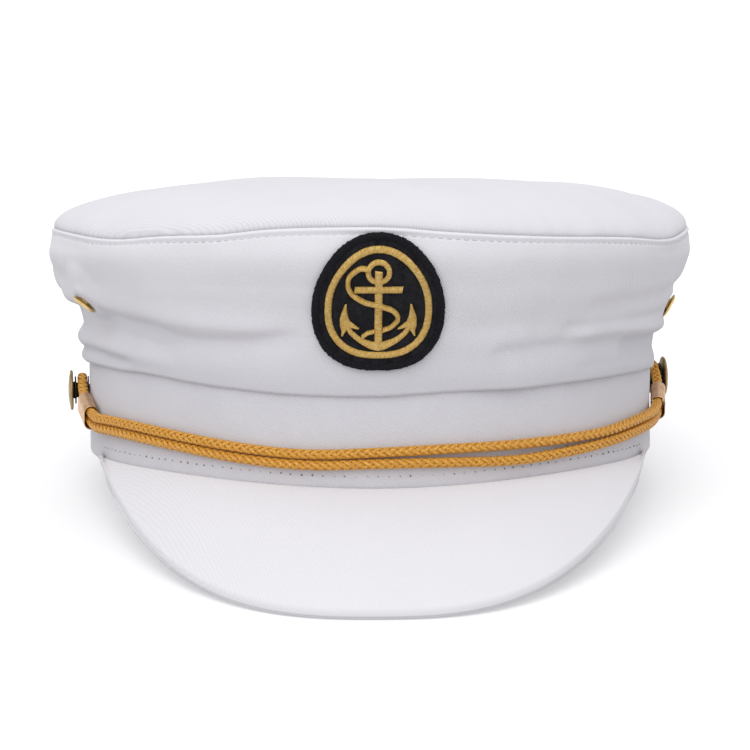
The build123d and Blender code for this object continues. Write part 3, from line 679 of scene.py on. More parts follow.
def make_tip():
    count, rings = 560, 84
    theta = np.linspace(0, 2 * pi, count, endpoint=False)
    signed = (theta + pi) % (2 * pi) - pi
    # Rings spaced evenly along the dome's outline.
    r = np.linspace(0, 1, 4001)
    z = TIP_HEIGHT * (1 - r**TIP_POWER) ** (1 / TIP_POWER)
    run = np.concatenate([[0], np.cumsum(np.hypot(np.diff(r) * TIP_RADIUS, np.diff(z)))])
    rho = np.interp(np.linspace(run[-1], 0, rings), run, r)
    rho[-1] = POLE
    a, b, centre = SECTIONS[-1, 1:]
    slope = radians(HIGH_SLOPE)
    tg, rg = np.meshgrid(signed, rho, indexing="ij")
    rise = TIP_HEIGHT * (1 - np.clip(rg, 0, 1) ** TIP_POWER) ** (1 / TIP_POWER)
    fx, fy = a * rg * np.sin(tg), -b * rg * np.cos(tg)
    walk = np.concatenate([[0], np.cumsum(np.hypot(np.diff(rho) * TIP_RADIUS, np.diff(rise[0])))])
    walk = np.broadcast_to(walk, rg.shape)
    s = MEAN_RADIUS * tg
    fan = np.exp(-((np.degrees(tg) + 60) / 13) ** 2) + 0.45 * np.exp(-((np.degrees(tg) - 66) / 12) ** 2)
    fan = fan + 0.3 * (np.abs(np.degrees(tg)) > 100)
    fine = 0.20 * fan * np.sin(2 * pi * s / 2.7 + 1.4 * noise2(s / 9 + 30, walk / 9, 21))
    fine = fine * np.exp(-((walk - 3.5) / 4.6) ** 2)
    broad = 0.30 * noise2(s / 6.5 + 50, walk / 22 + 6, 22) * np.exp(-walk / 11.0) * smooth(walk / 1.5)
    broad = broad * smooth((3.08 - abs(tg)) / 0.12)
    soft = 0.75 * noise2(fx / 34 + 10, fy / 34 + 10, 23) + 0.28 * noise2(fx / 15 + 7, fy / 15 + 8, 24)
    soft = soft * smooth(walk / 26.0)
    sag = -1.1 * np.exp(-(((fx - 20) / 46) ** 2 + ((fy - 8) / 52) ** 2))
    lift = 0.93 * rise + fine + broad + soft + sag * smooth(walk / 20)
    ly = np.array([0, cos(slope), -sin(slope)])
    lz = np.array([0, sin(slope), cos(slope)])
    origin = np.array([0, HEAD_Y + centre, HIGH_Z])
    points = (origin + fx[..., None] * np.array([1.0, 0, 0]) + fy[..., None] * ly
              + lift[..., None] * lz)
    edge = side_panel_edge(signed)
    inward = unit(np.stack([-np.sin(signed), np.cos(signed), np.zeros(count)], -1))
    edge = edge + inward * 0.05
    shift = edge - points[:, 0]
    weight = (1 - smooth(walk / 26.0))[..., None]
    points = points + shift[:, None] * weight
    # The cloth puffs over the seam before it turns in.
    puff = 0.22 * np.exp(-((walk - 1.6) / 1.3) ** 2)
    normal = grid_normals(points, wrap_u=True)
    normal = -normal if normal[0, 60, 2] < 0 else normal
    points = points + normal * puff[..., None]
    planar = np.stack([fx, fy], -1)
    planar = np.concatenate([planar, planar[:1]], 0)
    pile = Pile()
    normal = grid_normals(points, wrap_u=True)
    if normal[0, 60, 2] < 0:
        normal = -normal
    inner = points - normal * CLOTH
    loop = np.concatenate([points, inner[:, ::-1]], 1)
    st = np.concatenate([planar, planar[:, ::-1], planar[:, :1]], 1)
    pile.add(loop, st, wrap_u=True, wrap_v=True)
    return new_object("crown_top", pile, "cap", twill_tip,
                      ["crown_tip"])


make_tip()


# ---- Threads: short stitches laid on a surface -----------------------------------------


def stitch_row(pile, points, normals, width, height, share=0.72, rows=5, sides=6):
    """One raised stitch between each two neighbouring points."""
    start, end = points[:-1], points[1:]
    out = unit(normals[:-1] + normals[1:])
    ways = end - start
    for k in range(len(start)):
        along = unit(ways[k])
        across = np.cross(along, out[k])
        length = np.linalg.norm(ways[k])
        f = np.linspace((1 - share) / 2, (1 + share) / 2, rows)
        arch = np.sqrt(np.maximum(0, 1 - ((f - 0.5) / (share / 2)) ** 2)) * 0.85 + 0.15
        turn = np.linspace(0, 2 * pi, sides, endpoint=False)
        grid = (start[k] + along * (f * length)[:, None, None]
                + across * (np.cos(turn) * width / 2)[None, :, None] * (0.4 + 0.6 * arch)[:, None, None]
                + out[k] * (np.sin(turn)[None, :, None] * height / 2 * arch[:, None, None]
                            + (arch[:, None, None] - 0.75) * height * 0.5))
        st = lattice(f * length, np.linspace(0, width * 3, sides + 1))
        pile.add(grid, st[..., ::-1], wrap_v=True, caps=True)


def along_line(points, pitch):
    """Points every pitch along a line of points, and the share along of each."""
    run = run_along(points)
    count = int(run[-1] / pitch)
    at = np.linspace(0, run[-1], count + 1)
    return np.stack([np.interp(at, run, points[:, k]) for k in range(3)], -1), at / run[-1]


def crown_stitches():
    theta = np.linspace(-pi, pi, 2000)
    share = 1 - LIP / (WALL_LENGTH * 0.96)
    line = side_surface(theta, np.full(theta.shape, share))
    places, at = along_line(line, 2.6)
    angles = -pi + 2 * pi * at
    normals = crown_normal(angles, side_v(angles, np.full(angles.shape, share)))
    pile = Pile()
    stitch_row(pile, places + normals * 0.02, normals, 0.42, 0.34)
    return new_object("crown_topstitch", pile, "cap",
                      white_thread)


crown_stitches()

# ---- Band ---------------------------------------------------------------------------------
BAND_ORIGIN = np.array([0, HEAD_Y, BAND_Z])
BAND_UP = np.array([0, sin(BAND_TILT), cos(BAND_TILT)])
BAND_BACK = np.array([0, cos(BAND_TILT), -sin(BAND_TILT)])
BAND_MEAN_RADIUS = 95.0     # turns an angle into millimetres of the band's cloth
NEEDLE_HALF = radians(68)   # where the needle holes over the visor end
LABEL_HALF = 17.0 / 86      # half the label's width, as an angle


def band_point(theta, outset, height):
    """Point on the band: angle from the front, outset from its outside and height."""
    theta, outset, height = np.broadcast_arrays(theta, outset, height)
    x = (BAND_A + outset) * np.sin(theta)
    y = -(BAND_B + outset) * np.cos(theta)
    return (BAND_ORIGIN + x[..., None] * np.array([1.0, 0, 0]) + y[..., None] * BAND_BACK
            + height[..., None] * BAND_UP)


def ring_profile(name, profile, body, material, replaces, count=540, wave=0.0, seed=1,
                 span=None):
    """A closed profile of (outset, height) points, in order, swept round the band."""
    profile = np.array(profile)
    theta = np.linspace(0, 2 * pi, count, endpoint=False) - pi if span is None else np.linspace(*span, count)
    tg, k = np.meshgrid(theta, np.arange(len(profile)), indexing="ij")
    outset, height = profile[k, 0], profile[k, 1]
    bend = wave * noise2(np.cos(tg) * 9 + 12, np.sin(tg) * 9 + height / 14 + 12, seed)
    points = band_point(tg, outset + bend, height)
    steps = run_along(np.concatenate([profile, profile[:1]]))
    closed = span is None
    s = BAND_MEAN_RADIUS * (np.append(theta, pi) if closed else theta)
    st = lattice(s, steps)
    pile = Pile().add(points, st, wrap_u=closed, wrap_v=True, caps=not closed)
    return new_object(name, pile, body, material, replaces)


def rounded(low, high, outer, thickness, radius, rows=12):
    """Profile of an upright strip with rounded edges, outside first."""
    r = min(radius, thickness / 2 - 0.01)
    inner = outer - thickness
    points = []
    for centre, start in (((outer - r, low + r), -90), ((outer - r, high - r), 0),
                          ((inner + r, high - r), 90), ((inner + r, low + r), 180)):
        if start == 0:
            for h in np.linspace(low + r, high - r, rows + 2)[1:-1]:
                points.append((outer, h))
        if start == 180:
            for h in np.linspace(high - r, low + r, rows + 2)[1:-1]:
                points.append((inner, h))
        for a in np.radians(np.linspace(start, start + 90, 4)):
            points.append((centre[0] + r * cos(a), centre[1] + r * sin(a)))
    return points


def band_cover():
    """Twill band with rounded edges."""
    profile = rounded(0.0, BAND_HEIGHT, 0.0, 1.1, 0.54, rows=30)
    return ring_profile("band_twill", profile, "cap", twill_band_painted_shade, ["band_cover"],
                        wave=0.16, seed=31)


band_cover()


def seam_height(theta):
    """Height of the visor's seam on the band."""
    return VISOR_SEAM + VISOR_BUMP * np.sin(2 * theta) ** 2


def band_needle_holes():
    """Dark dots in a row of needle holes above the visor, painted as the shade inside the holes."""
    theta = np.linspace(-NEEDLE_HALF, NEEDLE_HALF, 900)
    line = band_point(theta, 0.0, seam_height(theta) + 2.75)
    places, at = along_line(line, 3.3)
    rng = np.random.default_rng(7)
    pile = Pile()
    for place, share in zip(places, at):
        angle = -NEEDLE_HALF + 2 * NEEDLE_HALF * share
        out = unit(band_point(angle, 1.0, 0.0) - band_point(angle, 0.0, 0.0))
        one = unit(np.cross(BAND_UP, out))
        two = np.cross(out, one)
        size = 0.27 * rng.uniform(0.45, 1.1)
        centre = place + one * rng.uniform(-0.25, 0.25) + two * rng.uniform(-0.12, 0.12)
        turn = np.linspace(0, 2 * pi, 8, endpoint=False)
        rings = [(1.0, -0.15), (1.0, 0.16), (0.72, 0.22), (0.3, 0.12)]
        grid = np.stack([centre + out * h + size * r * (np.cos(turn)[:, None] * one
                                                        + np.sin(turn)[:, None] * two)
                         for r, h in rings])
        pile.add(grid, wrap_v=True, caps=True)
    return new_object("band_needle_hole_shade", pile, "cap",
                      needle_hole_shade)


# Painted shade: the dark colour of these dots stands in for the shade inside the needle holes.
needle_hole_shade = thread("needle_hole_shade", (0.2, 0.2, 0.22), (0.12, 0.12, 0.14), (0.05, 0.05, 0.06),
                     0.2, 0.03, 0.8)
band_needle_holes()
ring_profile("sweatband_tape", rounded(0.8, 33.0, -3.5, 1.0, 0.45, rows=14), "cap",
             sweat_cotton, ["sweatband"], wave=0.2, seed=33)
for node, material in (("band_stiffener", board_card), ("visor_board", board_moulded)):
    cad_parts[node].data.materials.clear()
    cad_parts[node].data.materials.append(material)


def sweatband_stitches():
    theta = np.linspace(-pi, pi, 2400)
    pile = Pile()
    for height in (3.0, 31.0):
        line = band_point(theta, -4.5, np.full(theta.shape, height))
        places, at = along_line(line, 3.0)
        angles = -pi + 2 * pi * at
        out = unit(band_point(angles, 0.0, 0.0) - band_point(angles, 1.0, 0.0))
        stitch_row(pile, places + out * 0.1, out, 0.42, 0.34, rows=4, sides=5)
    return new_object("sweatband_stitches", pile, "cap",
                      white_thread)


sweatband_stitches()
ring_profile("label_tape", rounded(9.0, 25.0, -4.6, 0.4, 0.18, rows=8), "cap",
             label_weave, ["size_label"], count=40, span=(pi - LABEL_HALF, pi + LABEL_HALF))

# ---- Visor ----------------------------------------------------------------------------


def visor_lines(share):
    """Seam and edge points of the visor's under surface; share is -1 left to 1 right."""
    x = VISOR_HALF * share
    theta = np.arcsin(x / (BAND_A + VISOR_GAP))
    height = seam_height(theta)
    seam = band_point(theta, VISOR_GAP, height) - np.array([0, 0, VISOR_THICK])
    size = np.abs(share)
    reach = (1 - size**2.6) ** 0.75
    rise = np.where(share > 0, 18.4 * (0.25 * size**4.5 + 0.75 * size**2.7), 18.4 * size**4.5)
    edge = np.stack([x, VISOR_ROOT_Y - VISOR_REACH * reach, rise], -1)
    return seam, edge


def visor_piece(name, top, node):
    """The visor's top or under cover, rolled at its outer edge."""
    steps = np.sin(np.radians(np.linspace(-86, 86, 300)))
    seam, edge = visor_lines(steps)
    up = np.array([0, 0, 1.0])
    run = edge - seam
    away = unit(run * np.array([1, 1, 0]))
    joint = 1.05          # height of the covers' joint above the under surface
    roll = 1.5
    length = np.linalg.norm(run, axis=1)
    rows = 52
    f = np.concatenate([np.linspace(0, 0.04, 8)[:-1], np.linspace(0.04, 1, rows - 7)])
    flat = np.sin(pi * f) ** 0.9
    keep_in = np.minimum(roll, 0.45 * length)[:, None, None]
    base = seam[:, None] + run[:, None] * (f[None, :, None] * (1 - keep_in / length[:, None, None]))
    dome = (1 - np.abs(steps) ** 4)[:, None] * flat[None] * np.minimum(1.0, length / 30)[:, None]
    soft = 0.16 * noise2(base[..., 0] / 16 + 20, base[..., 1] / 16 + 20, 41)
    if top:
        groove = 0.7 * np.exp(-(f[None] * length[:, None] / 0.75) ** 2)
        surface = base + up * (VISOR_THICK + 1.3 * dome + soft * flat[None] - groove)[..., None]
        turns = np.radians(np.linspace(90, -8, 8))[1:]
        high = VISOR_THICK - joint
        round_off = np.stack([
            edge - away * keep_in[:, 0] + away * (keep_in[:, 0] * cos(a))
            + up * (joint + high * max(sin(a), -0.03)) for a in turns], 1)
        step = surface[:, -1] - (edge - away * keep_in[:, 0] + up * VISOR_THICK)
        round_off = round_off + step[:, None] * np.linspace(1, 0, 8)[1:][:, None]
        outer = np.concatenate([surface, round_off], 1)
        thick = 0.8
    else:
        surface = base + up * (0.9 * dome * 0.6)[..., None]
        surface[:, :, 2] = np.maximum(surface[:, :, 2], 0.02)
        turns = np.radians(np.linspace(-90, 4, 7))[1:]
        round_off = np.stack([
            edge - away * keep_in[:, 0] + away * ((keep_in[:, 0] - 0.1) * cos(a))
            + up * (joint * (1 + sin(a))) for a in turns], 1)
        outer = np.concatenate([surface, round_off], 1)
        thick = 0.7
    normal = grid_normals(outer)
    normal = normal * (1 if top else -1) * np.sign(normal[150, 10, 2])
    st = np.stack([outer[..., 0], outer[..., 1] - outer[..., 2]], -1)
    inner = outer - normal * thick
    loop = np.concatenate([outer, inner[:, ::-1]], 1)
    st = np.concatenate([st, st[:, ::-1], st[:, :1]], 1)
    pile = Pile().add(loop, st, wrap_v=True, caps=True)
    return new_object(name, pile, "cap", twill_visor, [node])


visor_piece("visor_top_twill", True, "visor_top_cover")
visor_piece("visor_under_twill", False, "visor_under_cover")

# ---- Linings ----------------------------------------------------------------------------

LINING_CLOTH = 0.35
PLEATS = 64                 # round the lining


def lining_wall():
    """Pleated lining, from the band's top up inside the side."""
    count = 540
    theta = np.linspace(-pi, pi, count, endpoint=False)
    fine = np.linspace(0, 0.9, 180)
    tg, vg = np.meshgrid(theta, fine, indexing="ij")
    heights = (crown_point(tg, vg, -3.4) - BAND_ORIGIN) @ BAND_UP
    low = np.array([np.interp(BAND_HEIGHT + 0.6, h, fine) for h in heights])
    rows = 34
    f = np.linspace(0, 1, rows)
    high = 0.985 - table_curve(SEAM_DROP, np.degrees(theta)) / WALL_LENGTH
    v = low[:, None] + (high - low)[:, None] * f[None]
    tg = np.broadcast_to(theta[:, None], v.shape)
    pleat = 0.45 * np.sin(tg * PLEATS + 2.0 * noise2(np.cos(tg) * 5 + 9, np.sin(tg) * 5 + 9, 51))
    pleat = pleat * (0.25 + 0.75 * smooth(f * 1.5))[None] * (1 - 0.6 * smooth((f - 0.8) / 0.2))[None]
    sink = np.minimum(side_offset(tg, v) + 0.9, 0)     # keeps clear of the folds outside it
    wall = crown_point(tg, v, -3.5) + crown_normal(tg, v) * (pleat + sink)[..., None]
    sewn = band_point(theta, -2.2, BAND_HEIGHT + 0.6)
    rim = np.stack([sewn + (wall[:, 0] - sewn) * k for k in (0.0, 0.35, 0.7)], 1)
    outer = np.concatenate([rim, wall], 1)
    s = np.append(MEAN_RADIUS * theta, MEAN_RADIUS * pi)
    t = np.concatenate([[-3, -2, -1], f * WALL_LENGTH])
    st = lattice(s, t)
    normal = grid_normals(outer, wrap_u=True)
    inner = outer - normal * LINING_CLOTH
    loop = np.concatenate([outer, inner[:, ::-1]], 1)
    st = np.concatenate([st, st[:, ::-1], st[:, :1]], 1)
    pile = Pile().add(loop, st, wrap_u=True, wrap_v=True)
    return new_object("lining_wall_cloth", pile, "cap",
                      lining_weave, ["crown_lining_wall"])


def lining_tip():
    """Lining under the top panel, lower and smaller than it."""
    count, rings = 480, 50
    theta = np.linspace(-pi, pi, count, endpoint=False)
    height = 0.93 * TIP_HEIGHT - 3.6
    k = np.linspace(0, 1, rings)
    rho = np.cos(k * pi / 2)
    rho[-1] = POLE
    rise = height * (1 - rho**TIP_POWER) ** (1 / TIP_POWER)
    a, b, centre = SECTIONS[-1, 1:] + np.array([-5.4, -4.4, 0])
    tg, rg = np.meshgrid(theta, rho, indexing="ij")
    fx, fy = a * rg * np.sin(tg), -b * rg * np.cos(tg)
    pleat = 0.5 * np.sin(tg * PLEATS) * smooth((rg - 0.45) / 0.5) - 0.7
    soft = 0.5 * noise2(fx / 26 + 10, fy / 26 + 10, 52)
    drop = table_curve(SEAM_DROP, np.degrees(tg)) * (1 - smooth((1 - rg) * TIP_RADIUS / 30.0))
    lift = rise[None] + (pleat + soft) * smooth((1 - rg) * 12) - drop
    slope = radians(HIGH_SLOPE)
    origin = np.array([0, HEAD_Y + centre, HIGH_Z])
    outer = (origin + fx[..., None] * np.array([1.0, 0, 0])
             + fy[..., None] * np.array([0, cos(slope), -sin(slope)])
             + lift[..., None] * np.array([0, sin(slope), cos(slope)]))
    normal = grid_normals(outer, wrap_u=True)
    if normal[0, 25, 2] < 0:
        normal = -normal
    loop = np.concatenate([outer, (outer - normal * LINING_CLOTH)[:, ::-1]], 1)
    planar = np.stack([fx, fy], -1)
    planar = np.concatenate([planar, planar[:1]], 0)
    st = np.concatenate([planar, planar[:, ::-1], planar[:, :1]], 1)
    pile = Pile().add(loop, st, wrap_u=True, wrap_v=True)
    return new_object("lining_top_cloth", pile, "cap",
                      lining_weave, ["crown_lining_tip"])


lining_wall()
lining_tip()

# ---- Badge --------------------------------------------------------------------------------


def on_badge(u, w, out):
    """Point at u across and w up from the badge's middle, at an outset from the crown."""
    theta, v = badge_surface(u, BADGE_Z + w)
    return crown_point(theta, v) + crown_normal(theta, v) * np.asarray(out)[..., None]


def badge_outline(angle, inset=0.0):
    """The badge's outline, fuller and flatter at the bottom."""
    c, s = np.cos(angle), np.sin(angle)
    power = np.where(s < 0, 2.45, 2.0)
    size = (np.abs(c) ** power + np.abs(s) ** power) ** (-1 / power)
    drop = -1.4 * (1 - np.abs(s))
    u = (BADGE_A - inset) * size * c * (1 - 0.035 * s)
    w = (BADGE_B - inset) * size * s + drop * (1 - inset / BADGE_B)
    return np.stack([u, w], -1)


def badge_felt():
    angle = np.linspace(0, 2 * pi, 220, endpoint=False)
    rings = np.linspace(1, 0.01, 34)
    outline = badge_outline(angle, 1.5)
    flat = outline[:, None] * rings[None, :, None]
    fuzz = 0.05 * noise2(flat[..., 0] * 2.2 + 30, flat[..., 1] * 2.2 + 30, 61)
    top = on_badge(flat[..., 0], flat[..., 1], 1.35 + fuzz)
    bottom = on_badge(flat[..., 0], flat[..., 1], np.full(flat.shape[:2], 0.05))
    loop = np.concatenate([top, bottom[:, ::-1]], 1)
    st = np.concatenate([flat, flat[:, ::-1], flat[:, :1]], 1)
    st = np.concatenate([st, st[:1]], 0)
    pile = Pile().add(loop, st, wrap_u=True, wrap_v=True)
    return new_object("badge_felt_oval", pile, "cap",
                      black_felt, ["badge_felt"])


def badge_merrow():
    """Overlocked edge: threads wrapped side by side round the badge's rim."""
    wraps, per = 150, 8
    angle = np.linspace(0, 2 * pi, wraps * per, endpoint=False)
    turns = np.radians(np.linspace(-20, 340, 15, endpoint=False))
    phase = np.arange(wraps * per)[:, None] / per + 0.55 * np.cos(turns)[None]
    ridge = np.abs(np.cos(pi * phase)) ** 0.7
    rng = np.random.default_rng(5)
    vary = np.repeat(rng.uniform(0.9, 1.08, wraps), per)[:, None]
    half, high = 1.2 * vary * (0.88 + 0.12 * ridge), 0.95 * vary * (0.82 + 0.18 * ridge)
    centre, lean = badge_outline(angle, 1.2), badge_outline(angle, 0.2) - badge_outline(angle, 1.2)
    lean = unit(lean)
    u = centre[:, None, 0] + lean[:, None, 0] * half * np.cos(turns)[None]
    w = centre[:, None, 1] + lean[:, None, 1] * half * np.cos(turns)[None]
    out = np.maximum(1.1 + high * np.sin(turns)[None], 0.05)
    grid = on_badge(u, w, out)
    s = np.arange(wraps * per + 1) * 0.11
    st = lattice(s, np.arange(16) * 0.4)
    pile = Pile().add(grid, st, wrap_u=True, wrap_v=True)
    return new_object("badge_merrow_thread", pile, "cap",
                      black_thread, ["badge_merrow_edge"])


def satin(pile, path, half, low, high, pitch=0.36, slant=0.35, closed=False, seed=1, blunt=0.25):
    """Satin stitch along a flat path: threads laid side by side across it."""
    path = np.asarray(path, float)
    line = np.concatenate([path, path[:1]]) if closed else path
    run = run_along(line)
    threads = max(6, int(round(run[-1] / pitch)))
    per = 4
    count = threads * per
    at = np.linspace(0, run[-1], count, endpoint=not closed)
    flat = np.stack([np.interp(at, run, line[:, k]) for k in range(2)], -1)
    if closed:
        way = np.roll(flat, -1, 0) - np.roll(flat, 1, 0)
    else:
        way = np.gradient(flat, axis=0)
    way = unit(way)
    side = np.stack([-way[:, 1], way[:, 0]], -1)
    width = np.interp(at, run, half) if np.ndim(half) else np.full(count, float(half))
    rng = np.random.default_rng(seed)
    jitter = np.repeat(rng.uniform(-1, 1, threads), per)
    ridge = np.abs(np.sin(pi * (np.arange(count) + 0.5) / per)) ** 0.6
    across = np.array([-1.0, -0.93, -0.72, -0.4, 0.0, 0.4, 0.72, 0.93, 1.0])
    dome = np.sqrt(np.maximum(0, 1 - np.abs(across) ** 2.4))
    wide = width * (1 + 0.07 * jitter * 0.6 / np.maximum(width, 0.6))
    ends = np.ones(count)
    if not closed:
        dist = np.minimum(at, run[-1] - at)
        ends = np.sqrt(np.clip(dist / blunt, 0.02, 1))
    push = slant * width[:, None] * across[None]
    u = flat[:, None, 0] + side[:, None, 0] * wide[:, None] * across + way[:, None, 0] * push
    w = flat[:, None, 1] + side[:, None, 1] * wide[:, None] * across + way[:, None, 1] * push
    rise = (high - low) * dome[None] * (0.74 + 0.26 * ridge[:, None]) * ends[:, None]
    top = on_badge(u, w, low + rise + 0.02)
    base = on_badge(u, w, np.full(u.shape, low - 0.12))
    loop = np.concatenate([top, base[:, ::-1]], 1)
    s = np.concatenate([np.arange(9), np.arange(9)[::-1], [0]]) * 0.1
    rows = np.arange(count + closed) * pitch / per
    pile.add(loop, lattice(rows, s), wrap_u=closed, wrap_v=True, caps=not closed)


def arc(centre, radius, start, end, count=60):
    a = np.radians(np.linspace(start, end, count))
    return np.stack([centre[0] + radius * np.cos(a), centre[1] + radius * np.sin(a)], -1)


def spline(points, count=120):
    """Smooth line through flat points."""
    points = np.array(points, float)
    fine = np.linspace(0, len(points) - 1, count)
    k = np.clip(fine.astype(int), 0, len(points) - 2)
    f = (fine - k)[:, None]
    before = np.where((k > 0)[:, None], points[np.clip(k - 1, 0, None)], 2 * points[k] - points[k + 1])
    after = np.where((k < len(points) - 2)[:, None], points[np.clip(k + 2, None, len(points) - 1)],
                     2 * points[k + 1] - points[k])
    return 0.5 * (2 * points[k] + (points[k + 1] - before) * f
                  + (2 * before - 5 * points[k] + 4 * points[k + 1] - after) * f**2
                  + (3 * points[k] - before - 3 * points[k + 1] + after) * f**3)


def badge_embroidery():
    angle = np.linspace(0, 2 * pi, 400, endpoint=False)
    pile = Pile()
    satin(pile, badge_outline(angle, 4.9), 1.02, 1.35, 2.15, closed=True, seed=11)
    new_object("badge_ring_satin", pile, "cap", gold_thread,
               ["badge_ring"])
    pile = Pile()
    satin(pile, arc((0, 10.2), 3.05, -80, 260, 120), 0.78, 1.35, 2.1, seed=12)
    satin(pile, [(0, 10.6), (0, -13.6)], 1.12, 1.35, 2.1, seed=13, slant=0.15)
    satin(pile, [(-7.0, 4.6), (7.0, 4.6)], 1.05, 1.38, 2.25, seed=14, slant=0.15)
    arms = spline([(-9.2, -6.4), (-7.9, -9.6), (-4.6, -12.4), (0, -14.0), (4.6, -12.4),
                   (7.9, -9.6), (9.2, -6.4)], 140)
    widths = 0.75 + 0.6 * np.exp(-(arms[:, 0] / 4.5) ** 2)
    satin(pile, arms, widths, 1.35, 2.12, seed=15)
    for side in (-1, 1):
        blade = spline([(side * 9.3, -8.6), (side * 10.0, -4.6), (side * 9.5, -0.2)], 60)
        blade_width = np.interp(np.linspace(0, 1, 60), [0, 0.25, 1], [1.5, 1.6, 0.25])
        satin(pile, blade, blade_width, 1.37, 2.16, seed=16 + side, slant=0.5 * side)
        for tip in ((side * 10.6, -10.9), (side * 5.6, -8.4)):
            barb = spline([(side * 9.2, -6.6), ((side * 9.2 + tip[0]) / 2, (-6.6 + tip[1]) / 2), tip], 40)
            satin(pile, barb, np.linspace(1.25, 0.22, 40), 1.36, 2.08, seed=19 + side, slant=0.2)
    satin(pile, [(0, -12.9), (0, -15.4)], np.array([1.9, 0.35]), 1.36, 2.05, seed=23, slant=0.0)
    new_object("badge_anchor_satin", pile, "cap",
               gold_thread, ["badge_anchor"])
    pile = Pile()
    rope = spline([(-2.3, 11.2), (-5.6, 11.3), (-8.6, 8.4), (-8.2, 4.0), (-4.4, 0.9), (0.0, -0.5),
                   (4.2, -2.2), (5.6, -5.0), (3.8, -7.6), (1.2, -8.9)], 260)
    satin(pile, rope, 0.72, 1.4, 2.75, seed=24, slant=0.75, pitch=0.34)
    rope = spline([(-1.0, -9.2), (-3.2, -9.9), (-4.9, -11.4)], 60)
    satin(pile, rope, 0.68, 1.4, 2.6, seed=25, slant=0.75, pitch=0.34)
    new_object("badge_rope_satin", pile, "cap", gold_thread,
               ["badge_rope"])


badge_felt()
badge_merrow()
badge_embroidery()

# ---- Turned pieces: eyelets, washers and buttons --------------------------------------


def lathe(pile, origin, one, two, out, profile, count=48):
    """A closed profile of (radius, height) turned round an axis."""
    turn = np.linspace(0, 2 * pi, count, endpoint=False)
    profile = np.array(profile, float)
    ring = np.cos(turn)[:, None, None] * one + np.sin(turn)[:, None, None] * two
    grid = origin + ring * profile[None, :, :1] + out * profile[None, :, 1:]
    s = np.arange(count + 1) * 0.3
    st = lattice(s, np.arange(len(profile) + 1) * 0.3)
    pile.add(grid, st, wrap_u=True, wrap_v=True)


def bevelled(points, size=0.12):
    """A closed profile with each corner cut by two small chamfers."""
    points = np.array(points, float)
    made = []
    for k in range(len(points)):
        corner = points[k]
        for other in (points[k - 1], points[(k + 1) % len(points)]):
            way = other - corner
            far = np.linalg.norm(way)
            made.append(corner + way / far * min(size, 0.4 * far))
        middle = (made[-1] + made[-2]) / 2
        made.insert(-1, middle + (corner - middle) * 0.45)
    return made


def eyelets(side, name):
    pile = Pile()
    flange = [(2.2, 0.55), (2.25, 1.05), (2.55, 1.32), (3.0, 1.38), (3.6, 1.22), (4.05, 0.92),
              (4.2, 0.66), (4.12, 0.5), (3.6, 0.52), (2.75, 0.45), (2.5, 0.1), (2.5, -2.1),
              (2.75, -2.45), (2.6, -2.55), (2.25, -2.3), (2.2, -1.8)]
    washers = Pile()
    washer = bevelled([(2.62, -1.9), (2.62, -1.5), (4.0, -1.5), (4.0, -1.9)], 0.1)
    for origin, one, two, out in eyelet_frames(side):
        lathe(pile, origin, one, two, out, flange)
        lathe(washers, origin, one, two, out, washer)
    new_object("eyelets_brass_" + name, pile, "cap",
               eyelet_metal, ["crown_eyelets_" + name])
    new_object("washers_brass_" + name, washers, "cap",
               eyelet_metal, ["eyelet_washers_" + name])


def button(side, name):
    out = np.array([side * cos(BUTTON_YAW), side * sin(BUTTON_YAW), 0.0])
    origin = np.array([0, BUTTON_Y, BUTTON_Z])
    one = np.array([0, 0, 1.0])
    two = np.cross(out, one)
    body = "button_" + name
    pile = Pile()
    shank = [(0.01, 88.5), (1.8, 88.5), (1.8, 91.5), (4.35, 91.5), (4.5, 91.6), (4.5, 91.8),
             (4.35, 91.9), (2.6, 91.9), (2.4, 92.1), (2.4, 95.4), (2.6, 95.6), (4.3, 95.6),
             (4.5, 95.75), (4.5, 95.95), (4.3, 96.1), (2.9, 96.1), (2.7, 96.3), (2.7, 96.75),
             (0.01, 96.75)]
    lathe(pile, origin, one, two, out, shank, 56)
    new_object("shank_" + name, pile, body, black_plastic,
               ["button_shank_" + name])
    pile = Pile()
    face = []
    for r in np.linspace(5.75, 0.02, 12):
        face.append((r, 98.2 - 28.0 + sqrt(28.0**2 - r * r)))
    head = [(0.02, 96.62), (5.7, 96.62), (6.25, 96.72), (6.5, 96.95), (6.5, 97.25), (6.3, 97.5),
            (6.05, 97.62), (5.85, 97.55)] + face
    lathe(pile, origin, one, two, out, head, 72)
    new_object("disc_" + name, pile, body, button_metal,
               ["button_head_" + name])
    pile = Pile()
    back = bevelled([(0.02, 88.0), (5.0, 88.0), (5.0, 88.5), (0.02, 88.5)], 0.12)
    lathe(pile, origin, one, two, out, back, 48)
    new_object("plate_" + name, pile, body, black_plastic,
               ["button_back_" + name])


for side, name in ((-1, "left"), (1, "right")):
    eyelets(side, name)
    button(side, name)

# ---- Gold cord ----------------------------------------------------------------------------


def cord_line():
    """Points read from the route's NURBS line."""
    curve = bpy.data.curves.new("cord_line", "CURVE")
    curve.dimensions = "3D"
    run = curve.splines.new("NURBS")
    run.points.add(len(CORD_ROUTE) - 1)
    for point, place in zip(run.points, CORD_ROUTE):
        point.co = (*(c * MM for c in place), 1.0)
    run.order_u = 3
    run.use_endpoint_u = True
    run.resolution_u = 16
    holder = bpy.data.objects.new("cord_line", curve)
    bpy.context.scene.collection.objects.link(holder)
    bpy.context.view_layer.update()
    mesh = bpy.data.meshes.new_from_object(holder)
    points = np.array([v.co for v in mesh.vertices]) / MM
    bpy.data.objects.remove(holder)
    bpy.data.meshes.remove(mesh)
    keep = np.concatenate([[True], np.linalg.norm(np.diff(points, axis=0), axis=1) > 1e-6])
    return points[keep]


def resample(points, step):
    run = run_along(points)
    count = int(round(run[-1] / step)) + 1
    at = np.linspace(0, run[-1], count)
    return np.stack([np.interp(at, run, points[:, k]) for k in range(3)], -1), at


